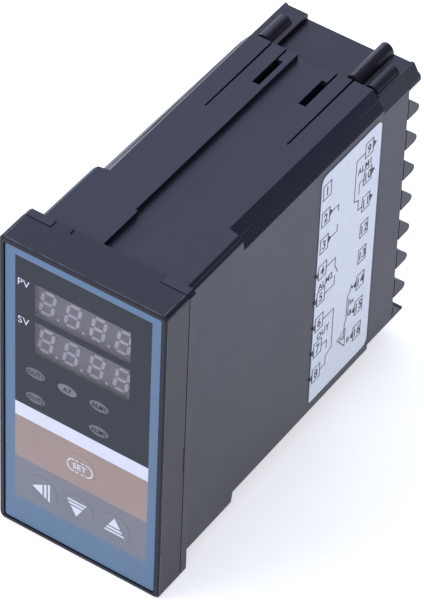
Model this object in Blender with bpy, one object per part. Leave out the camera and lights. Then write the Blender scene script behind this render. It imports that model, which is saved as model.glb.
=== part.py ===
"""Panel-mounted temperature controller with a 48 x 96 mm bezel.

A moulded sleeve goes through the panel from the front. A front unit (bezel, keys, displays and
three circuit boards) slides into the sleeve and plugs into the terminal block at its rear.
Metres, +Z up. The front faces -Y, and the origin is under the middle of the object.
Sizes below are in millimetres: x across, depth back from the bezel's face, height from mid-height.
"""

import math

import bmesh
import bpy
from mathutils import Matrix, Vector

MM = 0.001
GAP = 0.3

# Bezel and panel flange
BEZEL_W = 48.0
BEZEL_H = 96.0
BEZEL_DEPTH = 9.2
FLANGE_FRONT = BEZEL_DEPTH + GAP
FLANGE_REAR = 12.0
BEZEL_CORNER = 1.2
LIP = 1.4
FACE_DEPTH = 0.33
OVERLAY_T = 0.4
TAB_HALF_W = 15.6
TOTAL_DEPTH = 114.0

# Sleeve: half width and half height at its front, the draft to its rear, and the corner
# chamfers as (across, down)
SLEEVE_HALF_W = 21.8
SLEEVE_HALF_H = 46.0
SLEEVE_DRAFT_W = 0.55
SLEEVE_DRAFT_H = 0.2
CHAMFER_FRONT = (1.4, 1.4)
CHAMFER_REAR = (4.5, 4.65)
CHAMFER_END = (3.7, 4.85)
RAMP_START = 34.9
RAMP_END = 35.5
ROOF_END = 97.0
WALL_END = 108.6
CAVITY_HALF_W = 19.5
CAVITY_HALF_H = 44.0
CHANNEL_CAVITY_H = 42.4
CHANNEL_FLOOR = 44.25
CHANNEL_HALF_W = 4.3
CHANNEL_NECK_HALF_W = 3.6
CHANNEL_START = 13.3
CHANNEL_NECK_END = 27.7
SLOT_X = (5.75, 7.75)
SLOT_DEPTHS = (82.0, 92.5)
SLIT_X = 11.9
SLIT_W = 0.5
SLIT_START = 68.0
LABEL_DEPTHS = (69.3, 96.0)
LABEL_HEIGHTS = (-37.9, 38.9)
LABEL_CORNER = 2.0

# Terminal block
TERMINALS = 8
PITCH = 10.19
BLOCK_FRONT = 97.4
BLOCK_BASE = (98.0, 102.0)
BLOCK_HALF_W = 19.2
BLOCK_REAR = 113.3
BLOCK_FLOOR_H = 41.95
EAR_TOP_H = 43.6
EAR_INNER_X = 12.0
TOOTH_OUTER_X = 21.25
TERMINAL_X = 13.4
TOOTH_FOOT = 1.5
RIB_XS = (-15.4, 16.3)
RIB_HALF_W = 2.1
RIB_RISE = 2.2
KEY_RIDGE_X = 11.25
KEY_RIDGE_HALF_W = 2.15
KEY_RIDGE_RISE = 2.7
CHEEK_SHOULDER_X = 19.1
CHEEK_LOW_H = 39.6
SCREW_PROFILE = ((99.2, 1.5), (103.0, 1.5), (103.01, 3.0), (104.6, 2.9), (105.4, 2.2), (105.6, 1.0))
WASHER_HALF_W = 3.7
WASHER_HALF_H = 3.6
WASHER_T = 0.9

# Face layout, from the middle of the bezel
WINDOW_HALF_W = 13.9
WINDOW_PV = (27.1, 37.5)
WINDOW_SV = (14.6, 25.1)
KEY_R = 4.4
KEY_HOLE_R = KEY_R + GAP
KEYS = {
    "set": (0.0, -16.6),
    "left": (-11.3, -31.2),
    "down": (-0.45, -31.2),
    "up": (10.4, -31.2),
}
LAMPS = {
    "out1": (-13.4, 7.8),
    "at": (-4.1, 7.8),
    "alm1": (5.2, 7.8),
    "out2": (-13.4, -0.6),
    "alm2": (5.2, -0.6),
}
LAMP_HALF_W = 2.8
LAMP_HALF_H = 1.6

# Boards
DISPLAY_BOARD = (10.0, 11.6)
SIDE_BOARD_X = (15.2, 16.8)
SIDE_BOARD_DEPTHS = (12.6, 96.0)
SIDE_BOARD_HALF_H = 38.0

ROUND_STEPS = 24


def at(x, depth, height):
    """World position of a point given across, back from the face and up from mid-height."""
    return Vector((x, depth - TOTAL_DEPTH / 2, height + BEZEL_H / 2)) * MM


def material(name, colour, roughness, metallic=0.0):
    made = bpy.data.materials.get(name)
    if made:
        return made
    made = bpy.data.materials.new(name)
    made.use_nodes = True
    shader = made.node_tree.nodes["Principled BSDF"]
    shader.inputs["Base Color"].default_value = (*colour, 1.0)
    shader.inputs["Roughness"].default_value = roughness
    shader.inputs["Metallic"].default_value = metallic
    return made


def black_plastic():
    return material("black_plastic", (0.035, 0.036, 0.045), 0.55)


def overlay_film():
    return material("overlay_film", (0.10, 0.21, 0.36), 0.45)


def board_green():
    return material("board_green", (0.02, 0.16, 0.07), 0.5)


def nickel():
    return material("nickel", (0.62, 0.61, 0.58), 0.3, 1.0)


def mesh_object(name, build, finish, origin=(0.0, 0.0, 0.0)):
    """An object whose mesh `build` fills in millimetres, placed with its own origin at `origin`."""
    bm = bmesh.new()
    build(bm)
    bmesh.ops.recalc_face_normals(bm, faces=bm.faces)
    place = at(*origin)
    to_world = Matrix.Translation(at(0, 0, 0)) @ Matrix.Scale(MM, 4)
    bmesh.ops.transform(bm, matrix=to_world, verts=bm.verts)
    bmesh.ops.translate(bm, vec=-place, verts=bm.verts)
    mesh = bpy.data.meshes.new(name)
    bm.to_mesh(mesh)
    bm.free()
    obj = bpy.data.objects.new(name, mesh)
    obj.location = place
    bpy.context.scene.collection.objects.link(obj)
    if finish:
        mesh.materials.append(finish)
    return obj


def add_block(bm, xs, depths, heights):
    """A box between two values of x, depth and height."""
    size = [abs(b - a) for a, b in (xs, depths, heights)]
    middle = [(a + b) / 2 for a, b in (xs, depths, heights)]
    made = bmesh.ops.create_cube(bm, size=1.0)
    bmesh.ops.scale(bm, vec=size, verts=made["verts"])
    bmesh.ops.translate(bm, vec=middle, verts=made["verts"])
    return made["verts"]


def add_prism(bm, outline, near, far, axis="depth"):
    """A flat outline carried along an axis: (x, height) points along depth, (depth, height) along x."""

    def point(a, b, t):
        return {"depth": (a, t, b), "x": (t, a, b), "height": (a, b, t)}[axis]

    rings = [[bm.verts.new(point(a, b, t)) for a, b in outline] for t in (near, far)]
    bm.faces.new(rings[0])
    bm.faces.new(reversed(rings[1]))
    count = len(outline)
    for i in range(count):
        j = (i + 1) % count
        bm.faces.new((rings[0][i], rings[1][i], rings[1][j], rings[0][j]))


def add_loft(bm, sections):
    """A closed skin through sections, each a depth and an outline of (x, height) points."""
    rings = [[bm.verts.new((x, depth, z)) for x, z in outline] for depth, outline in sections]
    bm.faces.new(rings[0])
    bm.faces.new(reversed(rings[-1]))
    count = len(rings[0])
    for near, far in zip(rings, rings[1:]):
        for i in range(count):
            j = (i + 1) % count
            bm.faces.new((near[i], far[i], far[j], near[j]))


def disc(x, z, radius, steps=ROUND_STEPS):
    turn = 2 * math.pi / steps
    return [(x + radius * math.cos(turn * i), z + radius * math.sin(turn * i)) for i in range(steps)]


def oval(x, z, half_w, half_h, steps=ROUND_STEPS):
    turn = 2 * math.pi / steps
    return [(x + half_w * math.cos(turn * i), z + half_h * math.sin(turn * i)) for i in range(steps)]


def chamfered(half_w, half_h, across, down):
    """A rectangle about the middle with its corners cut off."""
    w, h = half_w, half_h
    return [
        (w, h - down), (w - across, h), (across - w, h), (-w, h - down),
        (-w, down - h), (across - w, -h), (w - across, -h), (w, down - h),
    ]


def rounded(half_w, half_h, radius, steps=4):
    """A rectangle about the middle with round corners."""
    points = []
    for quarter, (sx, sz) in enumerate(((1, 1), (-1, 1), (-1, -1), (1, -1))):
        for i in range(steps + 1):
            angle = (quarter + i / steps) * math.pi / 2
            x = sx * (half_w - radius) + radius * math.cos(angle)
            points.append((x, sz * (half_h - radius) + radius * math.sin(angle)))
    return points


def tool(name, build):
    """A shape that only cuts or joins another object."""
    obj = mesh_object(name, build, None)
    obj.hide_render = True
    obj.display_type = "WIRE"
    return obj


def boolean(obj, other, operation):
    step = obj.modifiers.new(other.name, "BOOLEAN")
    step.operation = operation
    step.solver = "EXACT"
    step.object = other


def cut(obj, name, build):
    boolean(obj, tool(name, build), "DIFFERENCE")


def join(obj, name, build):
    boolean(obj, tool(name, build), "UNION")


def smooth(obj, degrees=35):
    obj.data.shade_smooth()
    obj.data.set_sharp_from_angle(angle=math.radians(degrees))


def mirrored_heights(low, high):
    """The same band of heights on the top and on the underside."""
    return ((low, high), (-high, -low))


def sleeve_half_w(depth):
    return SLEEVE_HALF_W - SLEEVE_DRAFT_W * (depth - FLANGE_REAR) / (WALL_END - FLANGE_REAR)


def sleeve_half_h(depth):
    return SLEEVE_HALF_H - SLEEVE_DRAFT_H * (depth - FLANGE_REAR) / (WALL_END - FLANGE_REAR)


# ---------------------------------------------------------------- sleeve


def sleeve_sections():
    stations = (
        (FLANGE_FRONT + GAP, CHAMFER_FRONT),
        (RAMP_START, CHAMFER_FRONT),
        (RAMP_END, CHAMFER_REAR),
        (ROOF_END, CHAMFER_END),
    )
    return [(d, chamfered(sleeve_half_w(d), sleeve_half_h(d), *cut)) for d, cut in stations]


def flange_outline():
    """The flange stands proud at the sides and corners; the bezel fills the gap between them."""
    w, h = BEZEL_W / 2, BEZEL_H / 2
    notch = TAB_HALF_W + GAP
    low = SLEEVE_HALF_H - 0.6
    right = [(w, h - 1), (w - 1, h), (notch, h), (notch, low)]
    left = [(-x, z) for x, z in reversed(right)]
    return right + left + [(-x, -z) for x, z in right + left]


def rear_wall_outline(side):
    """A side wall behind the roof: its ends follow the corner chamfers."""
    outer, high = sleeve_half_w(WALL_END), EAR_TOP_H - 0.1
    slope = (high - CHEEK_LOW_H) / (outer - CHEEK_SHOULDER_X)
    inner_high = high - slope * (CAVITY_HALF_W - CHEEK_SHOULDER_X)
    top = [(CAVITY_HALF_W, inner_high), (outer, CHEEK_LOW_H)]
    bottom = [(x, -z) for x, z in reversed(top)]
    return [(side * x, z) for x, z in top + bottom]


def cavity_outline():
    w, h = CAVITY_HALF_W, CAVITY_HALF_H
    inner, low, slope = CHANNEL_HALF_W + 1.6, CHANNEL_CAVITY_H, 3.0
    right = [(w, h - slope), (w - slope, h), (inner, h), (inner, low)]
    left = [(-x, z) for x, z in reversed(right)]
    return right + left + [(-x, -z) for x, z in right + left]


def add_channels(bm):
    for heights in mirrored_heights(CHANNEL_FLOOR, SLEEVE_HALF_H + 4):
        neck, wide = CHANNEL_NECK_HALF_W, CHANNEL_HALF_W
        add_block(bm, (-neck, neck), (CHANNEL_START, CHANNEL_NECK_END + 1), heights)


def add_wide_channels(bm):
    for heights in mirrored_heights(CHANNEL_FLOOR, SLEEVE_HALF_H + 4):
        add_block(bm, (-CHANNEL_HALF_W, CHANNEL_HALF_W), (CHANNEL_NECK_END, ROOF_END + 2), heights)


def add_clamp_slots(bm):
    """Slots that the hooks of a mounting clamp drop into."""
    for heights in mirrored_heights(CHANNEL_CAVITY_H - 3, SLEEVE_HALF_H + 2):
        for side in (-1, 1):
            add_block(bm, [side * x for x in SLOT_X], SLOT_DEPTHS, heights)


def add_outer_slits(bm):
    """Long slits that free the outer edge of each latch tongue."""
    for heights in mirrored_heights(CHANNEL_CAVITY_H - 3, SLEEVE_HALF_H + 2):
        for side in (-1, 1):
            x = side * SLIT_X
            add_block(bm, (x - SLIT_W / 2, x + SLIT_W / 2), (SLIT_START, ROOF_END + 1), heights)


def add_inner_slits(bm):
    """Short slits from each clamp slot to the rear edge."""
    for heights in mirrored_heights(CHANNEL_CAVITY_H - 3, SLEEVE_HALF_H + 2):
        for side in (-1, 1):
            x = side * (SLOT_X[1] - SLIT_W / 2)
            across = (x - SLIT_W / 2, x + SLIT_W / 2)
            add_block(bm, across, (SLOT_DEPTHS[1] - 1, ROOF_END + 1), heights)


def make_case_shell():
    shell = mesh_object("case_shell", lambda bm: add_loft(bm, sleeve_sections()), black_plastic())
    join(shell, "flange_tool", lambda bm: add_prism(bm, flange_outline(), FLANGE_FRONT, FLANGE_REAR))
    for side, name in ((-1, "left"), (1, "right")):
        outline = rear_wall_outline(side)
        join(
            shell, f"rear_wall_{name}_tool", lambda bm: add_prism(bm, outline, ROOF_END - 2, WALL_END)
        )
    cut(shell, "cavity_tool", lambda bm: add_prism(bm, cavity_outline(), 0, WALL_END + 5))
    cut(shell, "channel_neck_tool", add_channels)
    cut(shell, "channel_tool", add_wide_channels)
    cut(shell, "clamp_slot_tool", add_clamp_slots)
    cut(shell, "outer_slit_tool", add_outer_slits)
    cut(shell, "inner_slit_tool", add_inner_slits)
    return shell


def make_case_label():
    """Printed wiring sticker on the sleeve's right side, parallel to the drafted wall."""
    clear, thick, corner = 0.05, 0.15, LABEL_CORNER

    def build(bm):
        (d0, d1), (h0, h1) = LABEL_DEPTHS, LABEL_HEIGHTS
        outline = [(d0, h0), (d1, h0), (d1, h1 - corner)]
        outline += [(d1 - corner, h1), (d0 + corner, h1), (d0, h1 - corner)]
        rings = [
            [bm.verts.new((sleeve_half_w(d) + clear + t, d, h)) for d, h in outline]
            for t in (0.0, thick)
        ]
        bm.faces.new(rings[0])
        bm.faces.new(reversed(rings[1]))
        for i in range(len(outline)):
            j = (i + 1) % len(outline)
            bm.faces.new((rings[0][i], rings[1][i], rings[1][j], rings[0][j]))

    return mesh_object("case_label", build, material("sticker_paper", (0.62, 0.66, 0.74), 0.5))


# ---------------------------------------------------------------- terminal block


def barrier_heights():
    """Heights of the barriers: one above, between and below the terminals of a column."""
    return [(TERMINALS / 2 - i) * PITCH for i in range(TERMINALS + 1)]


def terminal_heights():
    return [(TERMINALS / 2 - 0.5 - i) * PITCH for i in range(TERMINALS)]


def add_block_roofs(bm):
    for heights in mirrored_heights(BLOCK_FLOOR_H - 2.2, BLOCK_FLOOR_H):
        add_block(bm, (-BLOCK_HALF_W, BLOCK_HALF_W), (BLOCK_FRONT, BLOCK_REAR), heights)


def add_ears(bm):
    for heights in mirrored_heights(BLOCK_FLOOR_H - 1.2, EAR_TOP_H):
        for side in (-1, 1):
            across = (side * EAR_INNER_X, side * (CHEEK_SHOULDER_X - 0.03))
            add_block(bm, across, (BLOCK_FRONT + GAP, BLOCK_REAR - 0.05), heights)


def add_cheeks(bm):
    """Corner pieces behind the sleeve's side walls, level with the ears and the corner chamfers."""
    top = EAR_TOP_H - 0.03
    for sign in (1, -1):
        for side in (-1, 1):
            outline = [
                (18.2, top), (CHEEK_SHOULDER_X, top), (TOOTH_OUTER_X - 0.01, CHEEK_LOW_H),
                (TOOTH_OUTER_X - 0.01, 38.9), (18.2, 38.9),
            ]
            outline = [(side * x, sign * z) for x, z in outline]
            add_prism(bm, outline, WALL_END + GAP + 0.02, TOTAL_DEPTH - 0.35)


def arch(x, base, half_w, rise, sign, steps=8):
    """Half an ellipse standing on the height `base`, as (x, height) points."""
    turn = [math.pi * i / steps for i in range(steps + 1)]
    return [(x + half_w * math.cos(a), sign * (base + rise * math.sin(a))) for a in turn]


def add_ribs(bm):
    """Half-round ribs on the ears."""
    for sign in (1, -1):
        for x in RIB_XS:
            outline = arch(x, EAR_TOP_H - 0.5, RIB_HALF_W, RIB_RISE, sign)
            add_prism(bm, outline, BLOCK_FRONT + 1, 108.0)


def add_key_ridges(bm):
    """A taller ridge beside the right ear, which keys the block into its sleeve."""
    left, right = KEY_RIDGE_X - KEY_RIDGE_HALF_W, KEY_RIDGE_X + KEY_RIDGE_HALF_W
    for sign in (1, -1):
        foot_h = sign * (BLOCK_FLOOR_H - 1)
        crest = arch(KEY_RIDGE_X, EAR_TOP_H, KEY_RIDGE_HALF_W, KEY_RIDGE_RISE, sign)
        outline = crest + [(left, foot_h), (right, foot_h)]
        add_prism(bm, outline, BLOCK_FRONT + 0.6, BLOCK_REAR - 0.1)


def add_barrier_plates(bm):
    for z in barrier_heights()[1:-1]:
        for side in (-1, 1):
            across = (side * 6.0, side * BLOCK_HALF_W)
            add_block(bm, across, (BLOCK_BASE[1] - 1, TOTAL_DEPTH - 0.5), (z - 1.3, z + 0.2))


def tooth_outline(z, top):
    """Side view of one barrier's outer end: square below, sloping above, with a round tip."""
    base = WALL_END + GAP
    return [
        (base, z - TOOTH_FOOT),
        (TOTAL_DEPTH - 1.0, z - TOOTH_FOOT),
        (TOTAL_DEPTH - 0.3, z - 1.2),
        (TOTAL_DEPTH, z - 0.5),
        (TOTAL_DEPTH - 0.2, z + 0.3),
        (TOTAL_DEPTH - 0.8, z + 1.1),
        (base, min(z + 5.3, top)),
    ]


def add_teeth(bm):
    top = BLOCK_FLOOR_H + 0.8
    for z in barrier_heights():
        for side in (-1, 1):
            add_prism(bm, tooth_outline(z, top), side * 18.6, side * TOOTH_OUTER_X, axis="x")


def add_corner_cuts(bm):
    """What lies outside the corner chamfers, so that the end teeth follow them too."""
    slope = (EAR_TOP_H - CHEEK_LOW_H) / (TOOTH_OUTER_X - CHEEK_SHOULDER_X)
    for sign in (1, -1):
        for side in (-1, 1):
            outline = [
                (CHEEK_SHOULDER_X + 0.02, EAR_TOP_H + 0.02), (CHEEK_SHOULDER_X + 3.0, EAR_TOP_H - 3.0 * slope),
                (CHEEK_SHOULDER_X + 4.0, EAR_TOP_H + 1.0), (CHEEK_SHOULDER_X + 0.02, EAR_TOP_H + 1.0),
            ]
            add_prism(bm, [(side * x, sign * z) for x, z in outline], WALL_END, TOTAL_DEPTH + 1)


def add_screw_holes(bm):
    for z in terminal_heights():
        for side in (-1, 1):
            add_prism(bm, disc(side * TERMINAL_X, z, 2.0, 8), BLOCK_BASE[0] - 1, BLOCK_BASE[1] + 1)


def make_terminal_block():
    def base(bm):
        add_block(bm, (-BLOCK_HALF_W, BLOCK_HALF_W), BLOCK_BASE, (-BLOCK_FLOOR_H + 1, BLOCK_FLOOR_H - 1))

    def spine(bm):
        add_block(bm, (-7.2, 7.2), (BLOCK_BASE[1] - 1, 108.0), (-40.5, 40.5))

    block = mesh_object("terminal_block", base, black_plastic())
    join(block, "block_roof_tool", add_block_roofs)
    join(block, "block_spine_tool", spine)
    join(block, "block_barrier_tool", add_barrier_plates)
    join(block, "block_ear_tool", add_ears)
    join(block, "block_rib_tool", add_ribs)
    join(block, "block_key_ridge_tool", add_key_ridges)
    join(block, "block_tooth_tool", add_teeth)
    join(block, "block_cheek_tool", add_cheeks)
    cut(block, "block_corner_tool", add_corner_cuts)
    cut(block, "block_hole_tool", add_screw_holes)
    return block


def make_terminal_screws():
    """Pan-head screws with captive square washers, one to a terminal."""
    seat = BLOCK_BASE[1] + GAP
    for column, side in enumerate((1, -1)):
        for row, z in enumerate(terminal_heights()):
            x = side * TERMINAL_X
            number = column * TERMINALS + row + 1

            def turned(bm):
                add_loft(bm, [(d, disc(x, z, r, 12)) for d, r in SCREW_PROFILE])

            def washer(bm):
                across = (x - WASHER_HALF_W, x + WASHER_HALF_W)
                up = (z - WASHER_HALF_H, z + WASHER_HALF_H)
                add_block(bm, across, (seat, seat + WASHER_T), up)

            screw = mesh_object(f"terminal_screw_{number:02d}", turned, nickel(), (x, seat, z))
            join(screw, f"washer_tool_{number:02d}", washer)
            cut(screw, f"screw_slot_tool_{number:02d}", lambda bm: add_slot(bm, x, z, seat + 2.2))
            smooth(screw)


def add_slot(bm, x, z, depth):
    add_block(bm, (x - 2.0, x + 2.0), (depth, depth + 4), (z - 0.45, z + 0.45))


def make_sockets():
    """Edge sockets on the terminal block's front, which the two side boards plug into."""
    for side, name in ((-1, "left"), (1, "right")):
        mouth = [side * x for x in (SIDE_BOARD_X[0] - GAP, SIDE_BOARD_X[1] + GAP)]

        def build(bm):
            add_block(bm, (side * 13.0, side * 18.9), (89.0, BLOCK_BASE[0] - GAP), (-36.5, 36.5))

        def board_slot(bm):
            add_block(bm, mouth, (88.0, 96.6), (-38, 38))

        dark = material("socket_plastic", (0.03, 0.03, 0.03), 0.4)
        socket = mesh_object(f"edge_socket_{name}", build, dark)
        cut(socket, f"edge_socket_{name}_tool", board_slot)


# ---------------------------------------------------------------- front unit


def make_bezel_frame():
    """The front moulding: a deep rim, an open back with a skirt, and tabs over the flange."""

    def shell(bm):
        full = rounded(BEZEL_W / 2, BEZEL_H / 2, BEZEL_CORNER)
        front = rounded(BEZEL_W / 2 - 0.5, BEZEL_H / 2 - 0.5, BEZEL_CORNER)
        add_loft(bm, [(0.0, front), (0.5, full), (BEZEL_DEPTH, full)])

    def face_recess(bm):
        outline = rounded(BEZEL_W / 2 - LIP, BEZEL_H / 2 - LIP, 0.6)
        add_prism(bm, outline, -1, FACE_DEPTH + OVERLAY_T + 0.17)

    def tabs(bm):
        for heights in mirrored_heights(SLEEVE_HALF_H + GAP, BEZEL_H / 2):
            add_block(bm, (-TAB_HALF_W, TAB_HALF_W), (BEZEL_DEPTH - 1, FLANGE_REAR), heights)

    def pocket(bm):
        add_block(bm, (-21.5, 21.5), (3.0, 7.4), (-45.5, 45.5))

    def rear_opening(bm):
        add_block(bm, (-17.6, 17.6), (6.0, 18.0), (-40.5, 40.5))

    def skirt(bm):
        add_prism(bm, chamfered(19.2, 42.1, 2.0, 2.0), BEZEL_DEPTH - 1, 17.0)

    def tab_slit(bm):
        add_block(bm, (-10.8, -10.4), (10.0, FLANGE_REAR + 1), (BEZEL_H / 2 - 0.8, BEZEL_H / 2 + 1))

    def face_openings(bm):
        add_block(bm, (-15.3, 15.3), (-1, 4), (13.4, 38.8))
        for x, z in LAMPS.values():
            add_prism(bm, oval(x, z, LAMP_HALF_W + GAP, LAMP_HALF_H + GAP), -1, 4)
        for x, z in KEYS.values():
            add_prism(bm, disc(x, z, KEY_HOLE_R), -1, 4)

    frame = mesh_object("bezel_frame", shell, black_plastic())
    join(frame, "bezel_tab_tool", tabs)
    join(frame, "bezel_skirt_tool", skirt)
    cut(frame, "bezel_recess_tool", face_recess)
    cut(frame, "bezel_pocket_tool", pocket)
    cut(frame, "bezel_rear_tool", rear_opening)
    cut(frame, "bezel_slit_tool", tab_slit)
    cut(frame, "bezel_opening_tool", face_openings)


def make_front_overlay():
    """Printed film with openings for the displays, the lamps and the key caps."""

    def holes(bm):
        for low, high in (WINDOW_PV, WINDOW_SV):
            add_block(bm, (-WINDOW_HALF_W, WINDOW_HALF_W), (-1, 2), (low, high))
        for x, z in LAMPS.values():
            add_prism(bm, oval(x, z, LAMP_HALF_W + 0.2, LAMP_HALF_H + 0.2), -1, 2)
        for x, z in KEYS.values():
            add_prism(bm, disc(x, z, KEY_HOLE_R), -1, 2)

    def sheet(bm):
        outline = rounded(BEZEL_W / 2 - LIP - GAP, BEZEL_H / 2 - LIP - GAP, 0.5, 2)
        add_prism(bm, outline, FACE_DEPTH, FACE_DEPTH + OVERLAY_T)

    film = mesh_object("front_overlay", sheet, overlay_film())
    cut(film, "overlay_hole_tool", holes)


def make_display_window():
    def pane(bm):
        add_block(bm, (-15.0, 15.0), (0.9, 1.3), (13.7, 38.5))

    mesh_object("display_window", pane, material("clear_window", (0.35, 0.36, 0.42), 0.1))


def make_led_displays():
    """Four-digit seven-segment modules: process value above, set value below."""
    white = material("display_grey", (0.30, 0.31, 0.36), 0.4)
    for name, (low, high) in (("pv", WINDOW_PV), ("sv", WINDOW_SV)):
        middle = (low + high) / 2

        def build(bm):
            add_block(bm, (-14.9, 14.9), (1.6, DISPLAY_BOARD[0] - GAP), (middle - 6.0, middle + 6.0))

        mesh_object(f"led_display_{name}", build, white)


def make_lamps():
    lens = material("lamp_lens", (0.09, 0.07, 0.07), 0.35)
    for name, (x, z) in LAMPS.items():

        def build(bm):
            outline = oval(x, z, LAMP_HALF_W, LAMP_HALF_H)
            add_prism(bm, outline, FACE_DEPTH + 0.05, DISPLAY_BOARD[0] - GAP)

        smooth(mesh_object(f"lamp_{name}", build, lens))


def make_keys(front_unit):
    """Key caps under the printed face, each pressing the stem of its own switch."""
    caps = material("key_cap", (0.22, 0.24, 0.28), 0.45)
    switch_metal = material("switch_metal", (0.5, 0.5, 0.5), 0.35, 1.0)
    stem_plastic = material("switch_stem", (0.02, 0.02, 0.02), 0.4)
    profile = (
        (FACE_DEPTH, KEY_R - 0.3), (0.6, KEY_R), (3.3, KEY_R), (3.31, 5.0),
        (4.1, 5.0), (4.11, 2.0), (4.6, 2.0),
    )
    for name, (x, z) in KEYS.items():
        guide = bpy.data.objects.new(f"key_{name}_travel", None)
        guide.location = at(x, 0, z) - front_unit.location
        guide.parent = front_unit
        bpy.context.scene.collection.objects.link(guide)

        def turned(bm):
            add_loft(bm, [(d, disc(x, z, r)) for d, r in profile])

        def plunger(bm):
            add_prism(bm, disc(x, z, 1.7, 12), 4.9, 8.2)

        cap = mesh_object(f"key_{name}", turned, caps, (x, 0, z))
        stem = mesh_object(f"switch_stem_{name}", plunger, stem_plastic, (x, 0, z))
        for piece in (cap, stem):
            smooth(piece)
            piece.parent = guide
            piece.location = (0, 0, 0)

        def housing(bm):
            add_block(bm, (x - 3, x + 3), (6.2, DISPLAY_BOARD[0] - GAP), (z - 3, z + 3))

        def stem_hole(bm):
            add_prism(bm, disc(x, z, 2.0, 12), 5.0, 9.0)

        switch = mesh_object(f"key_switch_{name}", housing, switch_metal)
        cut(switch, f"key_switch_{name}_tool", stem_hole)


def make_boards():
    low, high = DISPLAY_BOARD
    plate = {"display_board": ((-17.0, 17.0), (low, high), (-39.8, 39.8))}
    for name, side in (("main_board", -1), ("power_board", 1)):
        across = [side * x for x in SIDE_BOARD_X]
        plate[name] = (across, SIDE_BOARD_DEPTHS, (-SIDE_BOARD_HALF_H, SIDE_BOARD_HALF_H))
    for name, (xs, depths, heights) in plate.items():
        mesh_object(name, lambda bm: add_block(bm, xs, depths, heights), board_green())


def make_board_links():
    pin_black = material("pin_header", (0.02, 0.02, 0.02), 0.4)
    for side, name in ((-1, "left"), (1, "right")):

        def header(bm):
            add_block(bm, (side * 12.0, side * 14.9), (DISPLAY_BOARD[1] + GAP, 16.0), (-20, 20))

        mesh_object(f"board_link_{name}", header, pin_black)


def make_electronics():
    """The larger parts on the side boards: power supply on the right, control on the left."""
    face = SIDE_BOARD_X[0] - GAP
    dark = material("chip_black", (0.03, 0.03, 0.03), 0.5)
    blue = material("relay_blue", (0.03, 0.12, 0.35), 0.4)
    ferrite = material("transformer_yellow", (0.60, 0.42, 0.06), 0.5)
    blocks = (
        ("transformer", (face - 17.0, face), (24.0, 44.0), (-4.0, 18.0), ferrite),
        ("output_relay", (face - 15.5, face), (64.0, 83.0), (-30.0, -14.5), blue),
        ("alarm_relay_1", (face - 15.5, face), (64.0, 83.0), (-10.0, 5.5), blue),
        ("alarm_relay_2", (face - 15.5, face), (64.0, 83.0), (10.0, 25.5), blue),
        ("microcontroller", (-face, 2.2 - face), (34.0, 50.0), (-8.0, 8.0), dark),
    )
    for name, xs, depths, heights, finish in blocks:
        mesh_object(name, lambda bm: add_block(bm, xs, depths, heights), finish)
    sleeve = material("capacitor_sleeve", (0.02, 0.03, 0.08), 0.35)
    for name, x, z, radius, ends in (
        ("mains_capacitor", face - 8.4, -18.0, 8.0, (24.0, 52.0)),
        ("output_capacitor", face - 5.4, 27.0, 5.0, (24.0, 42.0)),
    ):
        can = mesh_object(name, lambda bm: add_prism(bm, disc(x, z, radius, 16), *ends), sleeve)
        smooth(can)


def make_front_unit():
    unit = bpy.data.objects.new("front_unit_slide", None)
    unit.location = at(0, 0, 0)
    bpy.context.scene.collection.objects.link(unit)
    kept = set(bpy.data.objects)
    make_front_overlay()
    make_display_window()
    make_led_displays()
    make_lamps()
    make_boards()
    make_board_links()
    make_electronics()
    make_bezel_frame()
    for obj in set(bpy.data.objects) - kept:
        obj.parent = unit
        obj.location -= unit.location
    make_keys(unit)


def main():
    for obj in list(bpy.data.objects):
        bpy.data.objects.remove(obj, do_unlink=True)
    make_case_shell()
    make_case_label()
    make_terminal_block()
    make_terminal_screws()
    make_sockets()
    make_front_unit()


main()
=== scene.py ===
import math
import random

import bmesh
import bpy
from mathutils import Matrix, Vector


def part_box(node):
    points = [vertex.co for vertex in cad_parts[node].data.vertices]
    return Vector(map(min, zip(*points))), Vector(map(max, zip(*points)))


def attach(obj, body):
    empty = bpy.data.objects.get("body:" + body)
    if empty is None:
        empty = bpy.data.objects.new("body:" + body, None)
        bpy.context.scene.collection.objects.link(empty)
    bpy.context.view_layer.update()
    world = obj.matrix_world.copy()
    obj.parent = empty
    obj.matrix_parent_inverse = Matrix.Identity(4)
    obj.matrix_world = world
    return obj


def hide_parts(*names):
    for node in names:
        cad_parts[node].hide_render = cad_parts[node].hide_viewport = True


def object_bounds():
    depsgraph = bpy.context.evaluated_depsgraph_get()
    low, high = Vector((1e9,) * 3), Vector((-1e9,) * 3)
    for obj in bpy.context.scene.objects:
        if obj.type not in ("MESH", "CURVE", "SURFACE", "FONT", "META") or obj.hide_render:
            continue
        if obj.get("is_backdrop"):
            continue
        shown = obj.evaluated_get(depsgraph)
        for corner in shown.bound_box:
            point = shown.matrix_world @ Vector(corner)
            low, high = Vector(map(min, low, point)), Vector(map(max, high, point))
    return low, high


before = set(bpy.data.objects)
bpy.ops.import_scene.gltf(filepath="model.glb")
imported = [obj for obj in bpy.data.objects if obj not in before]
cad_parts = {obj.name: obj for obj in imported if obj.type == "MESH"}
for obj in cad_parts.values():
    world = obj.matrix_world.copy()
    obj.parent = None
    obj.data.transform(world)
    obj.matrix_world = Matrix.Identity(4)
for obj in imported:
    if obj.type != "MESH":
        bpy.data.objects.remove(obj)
cad_low, cad_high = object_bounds()

# ------------------------------------------------------------ the setting
# A plain pale table in a bright room, one soft light over the left shoulder,
# and a long lens well above the controller's front right.

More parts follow.
